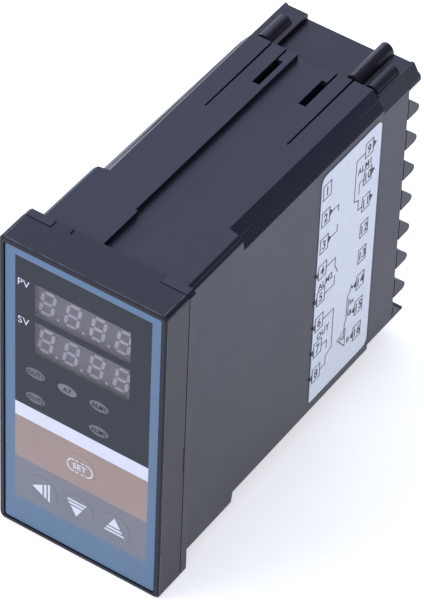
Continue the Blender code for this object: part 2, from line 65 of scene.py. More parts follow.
MM = 0.001
LENS_MM = 276.0
CAMERA_AZIMUTH, CAMERA_ELEVATION, CAMERA_ROLL = (math.radians(turn) for turn in (32.741, 44.194, 2.404))
CAMERA_PLACE = (440.11, -628.47, 787.65)
TABLE_REACH, TABLE_TOP, TABLE_GLOW = 12.0, -0.00005, 0.62
DARK_SIDE = Vector((0.70, 0.60, 0.38)).normalized()
LIT_SIDE = Vector((-0.40, 0.60, 0.69)).normalized()
ROOM_LIGHT, LIT_LIGHT, DARK_LIGHT = (0.80, 0.85, 1.0), (1.35, 1.42, 1.75), (0.035, 0.04, 0.08)


def at(x, depth, height):
    """A point in metres, from millimetres across, back from the face and up from mid-height."""
    middle = (cad_low.z + cad_high.z) / 2
    return Vector((x * MM, cad_low.y + depth * MM, middle + height * MM))


def link(tree, source, output, target, entry):
    tree.links.new(source.outputs[output], target.inputs[entry])


def add_node(tree, kind, values=None, sources=None, **settings):
    """A new node with its settings and plain values, linked from (node, output) pairs."""
    node = tree.nodes.new(kind)
    for setting, value in settings.items():
        setattr(node, setting, value)
    for entry, value in (values or {}).items():
        node.inputs[entry].default_value = value
    for entry, (source, output) in (sources or {}).items():
        link(tree, source, output, node, entry)
    return node


def remap(tree, source, output, span, reach=(0.3, 0.7), **settings):
    """A node that stretches the reach of a value to another span."""
    values = {"From Min": reach[0], "From Max": reach[1], "To Min": span[0], "To Max": span[1]}
    return add_node(tree, "ShaderNodeMapRange", values, {"Value": (source, output)}, **settings)


def add_bump(tree, shader, source, output, strength, distance=0.00004):
    values = {"Strength": strength, "Distance": distance}
    raised = add_node(tree, "ShaderNodeBump", values, {"Height": (source, output)})
    link(tree, raised, "Normal", shader, "Normal")


def new_material(name):
    """An empty node tree with one Principled shader, and the two nodes."""
    made = bpy.data.materials.new(name)
    made.use_nodes = True
    return made, made.node_tree, made.node_tree.nodes["Principled BSDF"]


def mottled(name, dark, light, scale, gloss, metallic=0.0, bump=0.0):
    """A finish that drifts between two tones, and between two roughnesses."""
    made, tree, shader = new_material(name)
    place = add_node(tree, "ShaderNodeTexCoord")
    drift = add_node(tree, "ShaderNodeTexNoise", {"Scale": scale, "Detail": 4.0}, {"Vector": (place, "Object")})
    tone = add_node(tree, "ShaderNodeValToRGB", sources={"Fac": (drift, "Fac")})
    for element, where, colour in zip(tone.color_ramp.elements, (0.3, 0.7), (dark, light)):
        element.position = where
        element.color = (*colour, 1)
    link(tree, tone, "Color", shader, "Base Color")
    link(tree, remap(tree, drift, "Fac", gloss, (0, 1)), "Result", shader, "Roughness")
    shader.inputs["Metallic"].default_value = metallic
    if bump:
        add_bump(tree, shader, drift, "Fac", bump)
    return made


def in_scene(name, data):
    """A new object of the scene."""
    made = bpy.data.objects.new(name, data)
    bpy.context.scene.collection.objects.link(made)
    return made


def make_table():
    made = mottled("table_white", (0.80, 0.80, 0.80), (0.84, 0.84, 0.84), 40.0, (0.65, 0.75))
    shader = made.node_tree.nodes["Principled BSDF"]
    shader.inputs["Emission Color"].default_value = (0.98, 0.985, 1.0, 1)
    shader.inputs["Emission Strength"].default_value = TABLE_GLOW
    mesh = bpy.data.meshes.new("table")
    corners = [(x * TABLE_REACH, y * TABLE_REACH, TABLE_TOP) for x, y in ((-1, -1), (1, -1), (1, 1), (-1, 1))]
    mesh.from_pydata(corners, [], [(0, 1, 2, 3)])
    mesh.materials.append(made)
    in_scene("table", mesh)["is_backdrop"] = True


def add_softbox(name, place, size, watts, colour):
    """A square area light that faces the middle of the object."""
    light = bpy.data.lights.new(name, "AREA")
    light.size, light.energy, light.color = size, watts, colour
    lamp = in_scene(name, light)
    lamp.location = place
    aim = Vector((0, 0, 0.05)) - Vector(place)
    lamp.rotation_euler = aim.to_track_quat("-Z", "Y").to_euler()


def make_camera():
    camera = bpy.data.cameras.new("camera")
    camera.lens, camera.sensor_width = LENS_MM, 36.0
    camera.clip_start, camera.clip_end = 0.05, 50.0
    level = math.cos(CAMERA_ELEVATION)
    ahead = Vector((
        -math.sin(CAMERA_AZIMUTH) * level, math.cos(CAMERA_AZIMUTH) * level, -math.sin(CAMERA_ELEVATION),
    ))
    right = Vector((math.cos(CAMERA_AZIMUTH), math.sin(CAMERA_AZIMUTH), 0))
    up = right.cross(ahead)
    rolled_right = right * math.cos(CAMERA_ROLL) + up * math.sin(CAMERA_ROLL)
    rolled_up = up * math.cos(CAMERA_ROLL) - right * math.sin(CAMERA_ROLL)
    turn = Matrix((rolled_right, rolled_up, -ahead)).transposed()
    obj = in_scene("camera", camera)
    obj.matrix_world = Matrix.Translation(at(*CAMERA_PLACE)) @ turn.to_4x4()
    bpy.context.scene.camera = obj


def make_world():
    """A bright room, brighter at the back left, with a dark corner at the back right."""
    world = bpy.data.worlds.new("studio")
    bpy.context.scene.world = world
    world.use_nodes = True
    tree = world.node_tree
    sky = tree.nodes["Background"]
    place = add_node(tree, "ShaderNodeTexCoord")

    def toward(direction, start, full, colours):
        """A blend between two colours by how far each part of the room lies towards a direction."""
        facing = add_node(
            tree, "ShaderNodeVectorMath", {1: direction}, {0: (place, "Generated")}, operation="DOT_PRODUCT"
        )
        fall = remap(tree, facing, "Value", (0, 1), (start, full), interpolation_type="SMOOTHSTEP")
        values = {entry: (*colour, 1) for entry, colour in zip("AB", colours)}
        return add_node(tree, "ShaderNodeMix", values, {"Factor": (fall, "Result")}, data_type="RGBA")

    room = toward(LIT_SIDE, 0.45, 0.95, (ROOM_LIGHT, LIT_LIGHT))
    wall = toward(DARK_SIDE, 0.35, 0.88, ((1, 1, 1), DARK_LIGHT))
    link(tree, room, "Result", wall, "A")
    link(tree, wall, "Result", sky, "Color")
    sky.inputs["Strength"].default_value = 0.95


make_table()
make_world()
add_softbox("key_light", (-0.9, -1.15, 1.1), 0.65, 6.5, (0.88, 0.92, 1.0))
make_camera()
bpy.context.scene.view_settings.view_transform = "Standard"

# ------------------------------------------------------------ the sleeve
# The panel sleeve is one black moulding with a fine spark-eroded grain. Its
# sides draft inwards to the rear, and clamp rails are sunk in roof and floor.

# The middle of a corner chamfer, before and after its step: the halves of the mould meet there.
PARTING_LINES = (((21.1, 12.2, 45.3), (20.95, 34.8, 45.25)), ((19.4, 35.7, 43.65), (19.48, 96.8, 43.4)))
PARTING_RIDGE = ((-0.08, 0.08), (0.04, 0.04), (0.08, -0.08), (-0.1, -0.1))
# Strips on the side walls behind the roof: where they start and end, and their corners.
SEAM_PLACE = (19.12, 43.5)
SEAM_STRIPS = (
    (97.2, 108.6, ((0.0, 0.0), (0.62, -1.15), (0.62, -2.3), (0.0, -2.3))),
    (108.4, 109.0, ((0.0, 0.0), (2.07, -3.86), (2.07, -4.6), (0.0, -4.6))),
)
# A flush land that closes the joint between the flange and the bezel's tab at the top right.
FLUSH_END = ((15.61, 9.62, 0), (15.61, 11.96, 0), ((0.0, 47.2), (0.7, 47.2), (0.7, 47.99), (0.0, 47.99)))


def belongs(piece, body, slot, *nodes):
    """Gives a piece its body, and hides the CAD nodes that it stands for. The finish slot is not used."""
    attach(piece, body)
    if nodes:
        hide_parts(*nodes)


def finish_mesh(name, bm, finishes, smooth_angle=35.0):
    """Turns a bmesh in metres into an object of the scene with the given materials."""
    mesh = bpy.data.meshes.new(name)
    bm.to_mesh(mesh)
    bm.free()
    for finish in finishes:
        mesh.materials.append(finish)
    mesh.shade_smooth()
    mesh.set_sharp_from_angle(angle=math.radians(smooth_angle))
    return in_scene(name, mesh)


def plain_mesh(holder):
    """The result of an object's modifiers as a plain mesh, with the modifiers removed."""
    bpy.context.view_layer.update()
    mesh = bpy.data.meshes.new_from_object(holder.evaluated_get(bpy.context.evaluated_depsgraph_get()))
    holder.modifiers.clear()
    return mesh


def eased_copy(name, node, finish, width, least_edge, extra=None):
    """A copy of a CAD node, merged into flat faces, with its longer edges rounded.

    extra adds further closed shapes to the mesh once the edges are rounded.
    """
    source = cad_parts[node]
    bm = bmesh.new()
    bm.from_mesh(source.data)
    bmesh.ops.transform(bm, matrix=source.matrix_world, verts=bm.verts)
    bmesh.ops.remove_doubles(bm, verts=bm.verts, dist=1.5e-6)
    bmesh.ops.dissolve_limit(
        bm, angle_limit=math.radians(0.6), verts=bm.verts, edges=bm.edges, use_dissolve_boundaries=False
    )
    sharp = []
    for edge in bm.edges:
        if len(edge.link_faces) != 2 or edge.calc_length() < least_edge * MM:
            continue
        if edge.calc_face_angle() > math.radians(28.0):
            sharp.append(edge)
    bmesh.ops.bevel(
        bm, geom=sharp, offset=width * MM, offset_type="OFFSET", segments=2, profile=0.5,
        affect="EDGES", clamp_overlap=True, loop_slide=True, miter_outer="ARC",
    )
    if extra:
        extra(bm)
    for face in bm.faces:
        face.material_index = 0
    obj = finish_mesh(name, bm, [finish])
    # The large flat faces rule the shading at their rounded edges.
    weigh = obj.modifiers.new("weigh", "WEIGHTED_NORMAL")
    weigh.keep_sharp = True
    weigh.weight = 100
    obj.data = plain_mesh(obj)
    return obj


def new_group(name, inputs, outputs):
    """An empty shader group with named sockets, and its two end nodes."""
    group = bpy.data.node_groups.new(name, "ShaderNodeTree")
    for label, kind, value in inputs:
        socket = group.interface.new_socket(label, in_out="INPUT", socket_type="NodeSocket" + kind)
        socket.default_value = value
    for label, kind in outputs:
        group.interface.new_socket(label, in_out="OUTPUT", socket_type="NodeSocket" + kind)
    return group, group.nodes.new("NodeGroupInput"), group.nodes.new("NodeGroupOutput")


SURFACE_OUTPUTS = (("Color", "Color"), ("Roughness", "Float"), ("Height", "Float"))


def make_grain_group():
    """Fine moulded grain: lighter and darker specks, rare pale motes, and a matching height."""
    inputs = (("Base", "Color", (0.05, 0.05, 0.06, 1)), ("Grain Size", "Float", 2200.0), ("Dust", "Float", 0.25))
    group, start, end = new_group("moulded_grain", inputs, SURFACE_OUTPUTS)
    on_piece = {"Vector": (add_node(group, "ShaderNodeTexCoord"), "Object")}

    def sums(operation, *terms):
        """A maths node; each term is a number or a (node, output) pair."""
        values = {place: term for place, term in enumerate(terms) if not isinstance(term, tuple)}
        sources = {place: term for place, term in enumerate(terms) if isinstance(term, tuple)}
        return add_node(group, "ShaderNodeMath", values, sources, operation=operation), 0

    fine = add_node(group, "ShaderNodeTexNoise", {"Detail": 3.0, "Roughness": 0.65}, on_piece)
    link(group, start, "Grain Size", fine, "Scale")
    broad = add_node(group, "ShaderNodeTexNoise", {"Scale": 55.0, "Detail": 4.0}, on_piece)
    shade = remap(group, broad, "Fac", (0.94, 1.07), (0.25, 0.75))
    specks = remap(group, fine, "Fac", (0.84, 1.18))
    tone = sums("MULTIPLY", (shade, "Result"), (specks, "Result"))
    tinted = add_node(
        group, "ShaderNodeVectorMath", sources={0: (start, "Base"), "Scale": tone}, operation="SCALE"
    )
    motes = add_node(group, "ShaderNodeTexVoronoi", {"Scale": 420.0}, on_piece)
    chosen = add_node(group, "ShaderNodeTexWhiteNoise", sources={"Vector": (motes, "Position")})
    rare = sums("GREATER_THAN", (chosen, "Value"), 0.975)
    near = sums("LESS_THAN", (motes, "Distance"), 0.085)
    amount = sums("MULTIPLY", sums("MULTIPLY", rare, near), (start, "Dust"))
    dusted = add_node(group, "ShaderNodeMix", data_type="RGBA")
    dusted.inputs["B"].default_value = (0.30, 0.31, 0.35, 1)
    link(group, *amount, dusted, "Factor")
    link(group, tinted, "Vector", dusted, "A")
    link(group, dusted, "Result", end, "Color")
    link(group, remap(group, broad, "Fac", (0.40, 0.45)), "Result", end, "Roughness")
    link(group, fine, "Fac", end, "Height")
    return group


grain_group = make_grain_group()


def moulded_plastic(name, colour, grain_size=2200.0, dust=0.25, bump=0.12, shine=0.5):
    """A grained moulding of one colour."""
    made, tree, shader = new_material(name)
    grain = tree.nodes.new("ShaderNodeGroup")
    grain.node_tree = grain_group
    for entry, value in (("Base", (*colour, 1)), ("Grain Size", grain_size), ("Dust", dust)):
        grain.inputs[entry].default_value = value
    link(tree, grain, "Color", shader, "Base Color")
    link(tree, grain, "Roughness", shader, "Roughness")
    add_bump(tree, shader, grain, "Height", bump, 0.00006)
    shader.inputs["Specular IOR Level"].default_value = shine
    shader.inputs["Specular Tint"].default_value = (0.78, 0.83, 1.0, 1)
    return made


def add_rod(bm, start, end, profile):
    """A closed bar between two points; the profile gives its corners across and up, in millimetres."""
    rings = [[bm.verts.new(at(x + dx, depth, z + dz)) for dx, dz in profile] for x, depth, z in (start, end)]
    faces = [bm.faces.new(rings[0]), bm.faces.new(rings[1][::-1])]
    for i in range(len(profile)):
        j = (i + 1) % len(profile)
        faces.append(bm.faces.new((rings[0][i], rings[1][i], rings[1][j], rings[0][j])))
    bmesh.ops.recalc_face_normals(bm, faces=faces)


def add_sleeve_lines(bm):
    """Parting ridges along the chamfers, strips beside the terminal block's ears, and the flush land."""
    for side in (-1, 1):
        for rise in (-1, 1):
            for start, end in PARTING_LINES:
                ridge = [(side * dx, rise * dz) for dx, dz in PARTING_RIDGE]
                ends = [(side * x, depth, rise * z) for x, depth, z in (start, end)]
                add_rod(bm, *ends, ridge)
            x, z = side * SEAM_PLACE[0], rise * SEAM_PLACE[1]
            for near, far, shape in SEAM_STRIPS:
                add_rod(bm, (x, near, z), (x, far, z), [(side * dx, rise * dz) for dx, dz in shape])
    add_rod(bm, *FLUSH_END)


sleeve_plastic = moulded_plastic("sleeve_plastic", (0.020, 0.021, 0.033))
sleeve = eased_copy("sleeve_moulding", "case_shell", sleeve_plastic, 0.22, 0.9, add_sleeve_lines)
belongs(sleeve, "case", "black_plastic", "case_shell")

# ------------------------------------------------------------ the bezel
# The bezel is a second black moulding, closed at the front by the printed
# film and clipped over the sleeve's flange along its top and bottom.

# The pry slots are drawn as near-black proud strips: painted shade for their hollows.
PRY_SLOT_LOW, PRY_SLOT_HIGH = -10.1, -1.8
PRY_SLOT_NEAR, PRY_SLOT_FAR = 8.75, 9.3
# Scuffed crests with a painted highlight: pale strips round the front edge, and back along the two upper corners.
CREST_DEPTH, CREST_END = 0.45, 9.0
CREST_X, CREST_H = 22.75, 46.75
CREST_HALF = 0.05
# Front faces nearer than this take a darker copy of the bezel plastic: painted shade on the front lip.
PAINTED_SHADE_RIM_DEPTH = 0.42


def add_box(bm, xs, depths, heights):
    """A closed box between two values each of x, depth and height, in millimetres."""
    for vert in bmesh.ops.create_cube(bm, size=1.0)["verts"]:
        spans = zip(vert.co, (xs, depths, heights))
        vert.co = at(*[low + (high - low) * (part + 0.5) for part, (low, high) in spans])


def about(value, half):
    """The span of a given half width round a value."""
    return (value - half, value + half)


def add_bezel_lines(bm):
    """Near-black strips of painted shade for the slots in the side seams, where a blade releases the front unit, and
    pale strips of scuff and painted highlight on the crests.
    """
    low, high = PRY_SLOT_LOW, PRY_SLOT_HIGH
    slot = ((0.0, low), (0.0, high), (0.03, high - 0.1), (0.03, low + 0.1))
    depths = about(CREST_DEPTH, CREST_HALF)
    for side in (-1, 1):
        x = side * 23.98
        # A near-black strip 0.03 mm proud of each side: painted shade where the slot's hollow is.
        add_rod(bm, (x, PRY_SLOT_NEAR, 0), (x, PRY_SLOT_FAR, 0), [(side * dx, z) for dx, z in slot])
        # Proud strips on the crests carry the scuff and the painted highlight.
        add_box(bm, (-CREST_X, CREST_X), depths, sorted((side * 47.97, side * 48.01)))
        add_box(bm, sorted((side * 23.97, side * 24.01)), depths, (-CREST_H, CREST_H))
        add_box(bm, about(side * CREST_X, CREST_HALF), (depths[1] + 0.1, CREST_END), (47.96, 48.01))


bezel_plastic = moulded_plastic("bezel_plastic", (0.015, 0.015, 0.024), dust=0.35, shine=0.42)
bezel = eased_copy("bezel_moulding", "bezel_frame", bezel_plastic, 0.3, 1.5, add_bezel_lines)
# Near-black for the pry slots: painted shade in place of a recess.
slot_painted_shade = mottled("slot_painted_shade", (0.002, 0.002, 0.003), (0.004, 0.004, 0.005), 500.0, (0.7, 0.9))
# Pale for the crests: partly a scuff, partly a painted highlight.
scuff_and_painted_highlight = mottled("scuff_and_painted_highlight", (0.03, 0.03, 0.04), (0.42, 0.40, 0.42), 350.0, (0.4, 0.6))
# A darker, duller copy of the bezel plastic: painted shade for the front lip.
rim_painted_shade = moulded_plastic("rim_painted_shade", (0.009, 0.009, 0.015), dust=0.3, shine=0.3)
for finish in (slot_painted_shade, scuff_and_painted_highlight, rim_painted_shade):
    bezel.data.materials.append(finish)
for face in bezel.data.polygons:
    x, depth, height = (face.center - at(0, 0, 0)) / MM
    # Faces of the slot strips take the painted shade.
    in_painted_slot_shade = PRY_SLOT_NEAR - 0.05 < depth < PRY_SLOT_FAR + 0.05
    if abs(x) > 23.97 and in_painted_slot_shade and PRY_SLOT_LOW - 0.1 < height < PRY_SLOT_HIGH + 0.1:
        face.material_index = 1
    # Outer faces of the crest strips: scuff and painted highlight.
    elif abs(x) > 24.002 or abs(height) > 48.002:
        face.material_index = 2
    # The front lip: painted shade.
    elif depth < PAINTED_SHADE_RIM_DEPTH:
        face.material_index = 3
belongs(bezel, "front_unit", "black_plastic", "bezel_frame")

# ------------------------------------------------------------ the printed film
# A polyester film, reverse printed in flat colours, closes the front. Its two
# display windows are left clear, and it is embossed round each key.

FILM_FRONT, FILM_REAR = 0.33, 0.73
WINDOW_HALF_W = 13.9
WINDOW_BANDS = ((26.85, 37.5), (14.5, 25.1))
KEY_HOLE_R = 4.7
BLACK_FIELD = (-19.4, 19.8, -4.4, 44.1)
BAND_HEIGHTS = (-4.4, -9.0, -23.3)


def rounded_box(half_w, half_h, radius, steps=6, centre=(0.0, 0.0)):
    """A closed outline with round corners, as (x, height) points in millimetres."""
    points = []
    for quarter, (side, rise) in enumerate(((1, 1), (-1, 1), (-1, -1), (1, -1))):
        for step in range(steps + 1):
            angle = (quarter + step / steps) * math.pi / 2
            x = side * (half_w - radius) + radius * math.cos(angle)
            z = rise * (half_h - radius) + radius * math.sin(angle)
            points.append((x + centre[0], z + centre[1]))
    return points


def oval(x, z, half_w, half_h, steps=40):
    turn = 2 * math.pi / steps
    return [(x + half_w * math.cos(turn * i), z + half_h * math.sin(turn * i)) for i in range(steps)]


def ring(x, z, radius, steps=48):
    return oval(x, z, radius, radius, steps)


def box_outline(left, right, low, high):
    return [(left, low), (right, low), (right, high), (left, high)]


def facing_front(point, front, thick):
    """Lays a flat drawing's point on the face: y becomes height and z comes towards the viewer."""
    return at(point.x, front + thick / 2 - point.z, point.y)


def curve_bmesh(curve, place):
    """The mesh of a flat curve or a text, with every point moved by place."""
    drawn = in_scene("drawing", curve)
    mesh = plain_mesh(drawn)
    bpy.data.objects.remove(drawn)
    bpy.data.curves.remove(curve)
    bm = bmesh.new()
    bm.from_mesh(mesh)
    bpy.data.meshes.remove(mesh)
    bmesh.ops.remove_doubles(bm, verts=bm.verts, dist=1e-5)
    for vert in bm.verts:
        vert.co = place(vert.co)
    bmesh.ops.recalc_face_normals(bm, faces=bm.faces)
    return bm


def flat_sheet(outlines, front, thick, place=facing_front):
    """A sheet with straight sides from closed outlines; an outline inside another is a hole."""
    curve = bpy.data.curves.new("outline", "CURVE")
    curve.dimensions = "2D"
    curve.fill_mode = "BOTH"
    curve.extrude = thick / 2
    for points in outlines:
        spline = curve.splines.new("POLY")
        spline.points.add(len(points) - 1)
        for entry, (x, z) in zip(spline.points, points):
            entry.co = (x, z, 0, 1)
        spline.use_cyclic_u = True
    return curve_bmesh(curve, lambda point: place(point, front, thick))


def lettering(words, x, z, height, front, thick=0.03, place=facing_front, wide=1.0, heavy=0.0):
    """Printed characters centred at (x, z), as thin raised ink."""
    curve = bpy.data.curves.new("lettering", "FONT")
    curve.body = words
    curve.size = height * 1.37
    curve.align_x = "CENTER"
    curve.extrude = thick / 2
    curve.offset = heavy
    curve.space_character = 1.06
    curve.resolution_u = 3

    def moved(point):
        spot = Vector((point.x * wide + x, point.y + z - height / 2, point.z))
        return place(spot, front, thick)

    return curve_bmesh(curve, moved)


def merge(parts):
    """One bmesh from several; each face keeps its material number."""
    whole = bmesh.new()
    for part in parts:
        mesh = bpy.data.meshes.new("part")
        part.to_mesh(mesh)
        part.free()
        whole.from_mesh(mesh)
        bpy.data.meshes.remove(mesh)
    return whole


def numbered(part, number):
    """The same bmesh, with every face on one material."""
    for face in part.faces:
        face.material_index = number
    return part


def gather(parts):
    """One bmesh from several, in order; each part's number becomes its faces' material."""
    return merge([numbered(part, number) for number, part in enumerate(parts)])


def make_ink_group():
    """Screen-printed ink under a satin film: a slow change of tone and a fine tooth."""
    inputs = (("Ink", "Color", (0.1, 0.1, 0.1, 1)),)
    group, start, end = new_group("printed_ink", inputs, SURFACE_OUTPUTS)
    on_piece = {"Vector": (add_node(group, "ShaderNodeTexCoord"), "Object")}
    tooth = add_node(group, "ShaderNodeTexNoise", {"Scale": 3000.0, "Detail": 2.0}, on_piece)
    slow = add_node(group, "ShaderNodeTexNoise", {"Scale": 70.0, "Detail": 3.0}, on_piece)
    tone = remap(group, slow, "Fac", (0.95, 1.05))
    sources = {0: (start, "Ink"), "Scale": (tone, "Result")}
    shaded = add_node(group, "ShaderNodeVectorMath", sources=sources, operation="SCALE")
    link(group, shaded, "Vector", end, "Color")
    link(group, remap(group, slow, "Fac", (0.36, 0.46)), "Result", end, "Roughness")
    link(group, tooth, "Fac", end, "Height")
    return group


ink_group = make_ink_group()


def printed_ink(name, colour, fade_to=None, fade_heights=(0.0, 1.0)):
    """Ink of one colour, or one that fades to another between two heights of the face."""
    made, tree, shader = new_material(name)
    ink = tree.nodes.new("ShaderNodeGroup")
    ink.node_tree = ink_group
    ink.inputs["Ink"].default_value = (*colour, 1)
    if fade_to:
        place = add_node(tree, "ShaderNodeTexCoord")
        split = add_node(tree, "ShaderNodeSeparateXYZ", sources={"Vector": (place, "Object")})
        reach = [at(0, 0, height).z for height in fade_heights]
        fade = remap(tree, split, "Z", (0, 1), reach, interpolation_type="SMOOTHSTEP")
        values = {"A": (*colour, 1), "B": (*fade_to, 1)}
        blend = add_node(tree, "ShaderNodeMix", values, {"Factor": (fade, "Result")}, data_type="RGBA")
        link(tree, blend, "Result", ink, "Ink")
    link(tree, ink, "Color", shader, "Base Color")
    link(tree, ink, "Roughness", shader, "Roughness")
    add_bump(tree, shader, ink, "Height", 0.05)
    shader.inputs["Specular IOR Level"].default_value = 0.34
    shader.inputs["Specular Tint"].default_value = (0.80, 0.88, 1.0, 1)
    return made


BLUE = (0.101, 0.170, 0.268)
GREY = (0.178, 0.182, 0.210)
TAN = (0.318, 0.232, 0.203)
ink_blue = printed_ink("ink_blue", BLUE)
ink_black = printed_ink("ink_black", (0.0085, 0.0115, 0.018))
ink_white = printed_ink("ink_white", (0.65, 0.66, 0.73))
ink_tan = printed_ink("ink_tan", TAN)
ink_grey = printed_ink("ink_grey", GREY, fade_to=BLUE, fade_heights=(-36.4, -38.6))
FILM_INKS = [ink_blue, ink_black, ink_white, ink_tan, ink_grey]


def ink_number(x, z):
    """Which ink of FILM_INKS is printed at a point of the face."""
    left, right, low, high = BLACK_FIELD
    if left < x < right and low < z < high:
        return 1
    if not left < x < right or z > high:
        return 0
    top, middle, bottom = BAND_HEIGHTS
    if z > middle:
        return 2
    return 3 if z > bottom else 4


def box_of(node):
    """A CAD node's x, depth and height ranges in millimetres."""
    least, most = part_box(node)
    return [(a / MM, b / MM) for a, b in zip(least - at(0, 0, 0), most - at(0, 0, 0))]


def centre_of(node):
    """The middle of a CAD node as seen from the front: across and up."""
    xs, _, heights = box_of(node)
    return (sum(xs) / 2, sum(heights) / 2)


key_centres = {name: centre_of(f"key_{name}") for name in ("set", "left", "down", "up")}
lamp_centres = {name: centre_of(f"lamp_{name}") for name in ("out1", "at", "alm1", "out2", "alm2")}
LAMP_HALF_W, LAMP_HALF_H = 2.8, 1.6


def make_film():
    outlines = [rounded_box(22.3, 46.3, 0.6)]
    for low, high in WINDOW_BANDS:
        outlines.append(box_outline(-WINDOW_HALF_W, WINDOW_HALF_W, low, high))
    for x, z in lamp_centres.values():
        outlines.append(oval(x, z, LAMP_HALF_W + 0.03, LAMP_HALF_H + 0.03))
    for x, z in key_centres.values():
        outlines.append(ring(x, z, KEY_HOLE_R))
    bm = flat_sheet(outlines, FILM_FRONT, FILM_REAR - FILM_FRONT)
    left, right, low, high = BLACK_FIELD
    cuts = [("x", left), ("x", right), ("z", high)] + [("z", z) for z in BAND_HEIGHTS]
    for axis, value in cuts:
        place = at(value, 0, 0) if axis == "x" else at(0, 0, value)
        normal = (1, 0, 0) if axis == "x" else (0, 0, 1)
        whole = bm.verts[:] + bm.edges[:] + bm.faces[:]
        bmesh.ops.bisect_plane(bm, geom=whole, plane_co=place, plane_no=normal, dist=1e-8)
    origin = at(0, 0, 0)
    for face in bm.faces:
        centre = (face.calc_center_median() - origin) / MM
        face.material_index = ink_number(centre.x, centre.z)
    belongs(finish_mesh("printed_film", bm, FILM_INKS), "front_unit", "printed_film", "front_overlay")


make_film()

# ------------------------------------------------------------ display windows
# The clear parts of the film sit over a recess. Behind them stand two
# four-digit modules, grey epoxy with pale unlit segments that lean right.

WINDOW_T, WINDOW_GAP = 0.14, 0.03
DIGIT_PITCH = 7.3
DIGIT_HEIGHT = 7.9
DIGIT_WIDTH = 4.35
STROKE = 0.98
LEAN = math.tan(math.radians(9.5))


window_film = mottled("window_film", (0.135, 0.135, 0.155), (0.165, 0.165, 0.185), 120.0, (0.12, 0.24))
film_tree = window_film.node_tree
haze = remap(film_tree, film_tree.nodes["Noise Texture"], "Fac", (0.16, 0.34), (0, 1))
link(film_tree, haze, "Result", film_tree.nodes["Principled BSDF"], "Alpha")
panes = []
for low, high in WINDOW_BANDS:
    reach = WINDOW_HALF_W - WINDOW_GAP
    outline = box_outline(-reach, reach, low + WINDOW_GAP, high - WINDOW_GAP)
    panes.append(flat_sheet([outline], FILM_FRONT + 0.02, WINDOW_T))
window = finish_mesh("window_panes", merge(panes), [window_film])
belongs(window, "front_unit", "clear_window", "display_window")

module_grey = moulded_plastic("module_grey", (0.200, 0.194, 0.212), grain_size=1500.0, dust=0.1, bump=0.04)
segment_pale = moulded_plastic("segment_pale", (0.66, 0.63, 0.68), grain_size=1500.0, dust=0.05, bump=0.03)
module_wall = moulded_plastic("module_wall", (0.035, 0.035, 0.042), grain_size=1500.0, dust=0.1)


def bar(start, end, half):
    """A six-sided segment between two points, pointed at both ends."""
    along = Vector(end) - Vector(start)
    length = along.length
    along /= length
    across = Vector((-along.y, along.x))
    tip = half * 0.95
    spots = [(0, 0), (tip, half), (length - tip, half), (length, 0), (length - tip, -half), (tip, -half)]
    return [tuple(Vector(start) + along * a + across * b) for a, b in spots]


def digit_bars(x, z):
    """The seven segments and the point of one digit whose middle is at (x, z)."""
    w, h, gap = (DIGIT_WIDTH - STROKE) / 2, (DIGIT_HEIGHT - STROKE) / 2, 0.25
    level = [((gap - w, y), (w - gap, y)) for y in (h, 0.0, -h)]
    upright = [((side * w, y + gap), (side * w, y + h - gap)) for side in (-1, 1) for y in (0.0, -h)]
    shapes = [bar(a, b, STROKE / 2) for a, b in level + upright]
    shapes.append(ring(w + 1.35 + h * LEAN, 0.35 - DIGIT_HEIGHT / 2, 0.42, 16))
    return [[(x + a + (b * LEAN), z + b) for a, b in shape] for shape in shapes]


def make_module(name, middle, shift):
    """A dark module with a grey face, and its digits cast in the face."""
    (left, right), (front, rear), (low, high) = box_of(name)
    centre = ((left + right) / 2, (low + high) / 2)
    half_w, half_h = (right - left) / 2, (high - low) / 2
    face_sheet = flat_sheet([rounded_box(half_w - 0.05, half_h - 0.05, 0.1, 3, centre)], front, 1.2)
    wall = flat_sheet([rounded_box(half_w, half_h, 0.2, 3, centre)], front + 0.3, rear - front - 0.3)
    segments = []
    for number in range(4):
        x = (number - 1.5) * DIGIT_PITCH + shift
        segments += [flat_sheet([shape], front - 0.03, 0.3) for shape in digit_bars(x, middle)]
    parts = gather([face_sheet, wall, merge(segments)])
    module = finish_mesh(name + "_module", parts, [module_grey, module_wall, segment_pale])
    belongs(module, "front_unit", "display_grey", name)


make_module("led_display_pv", 31.6, 0.1)
make_module("led_display_sv", 19.0, -0.25)

# ------------------------------------------------------------ face lettering
# The two value names beside the windows are printed in white ink. Each key
# carries its own mark, so it moves with the cap.

names = merge([lettering("PV", -17.05, 36.1, 2.3, 0.30), lettering("SV", -17.0, 23.7, 2.3, 0.30)])
belongs(finish_mesh("value_names", names, [ink_white]), "front_unit", "printed_film")

# ------------------------------------------------------------ lamps
# Five oval lenses of smoked acrylic, each with a small dark name printed
# on it. A light pipe behind each one reaches back to the display board.


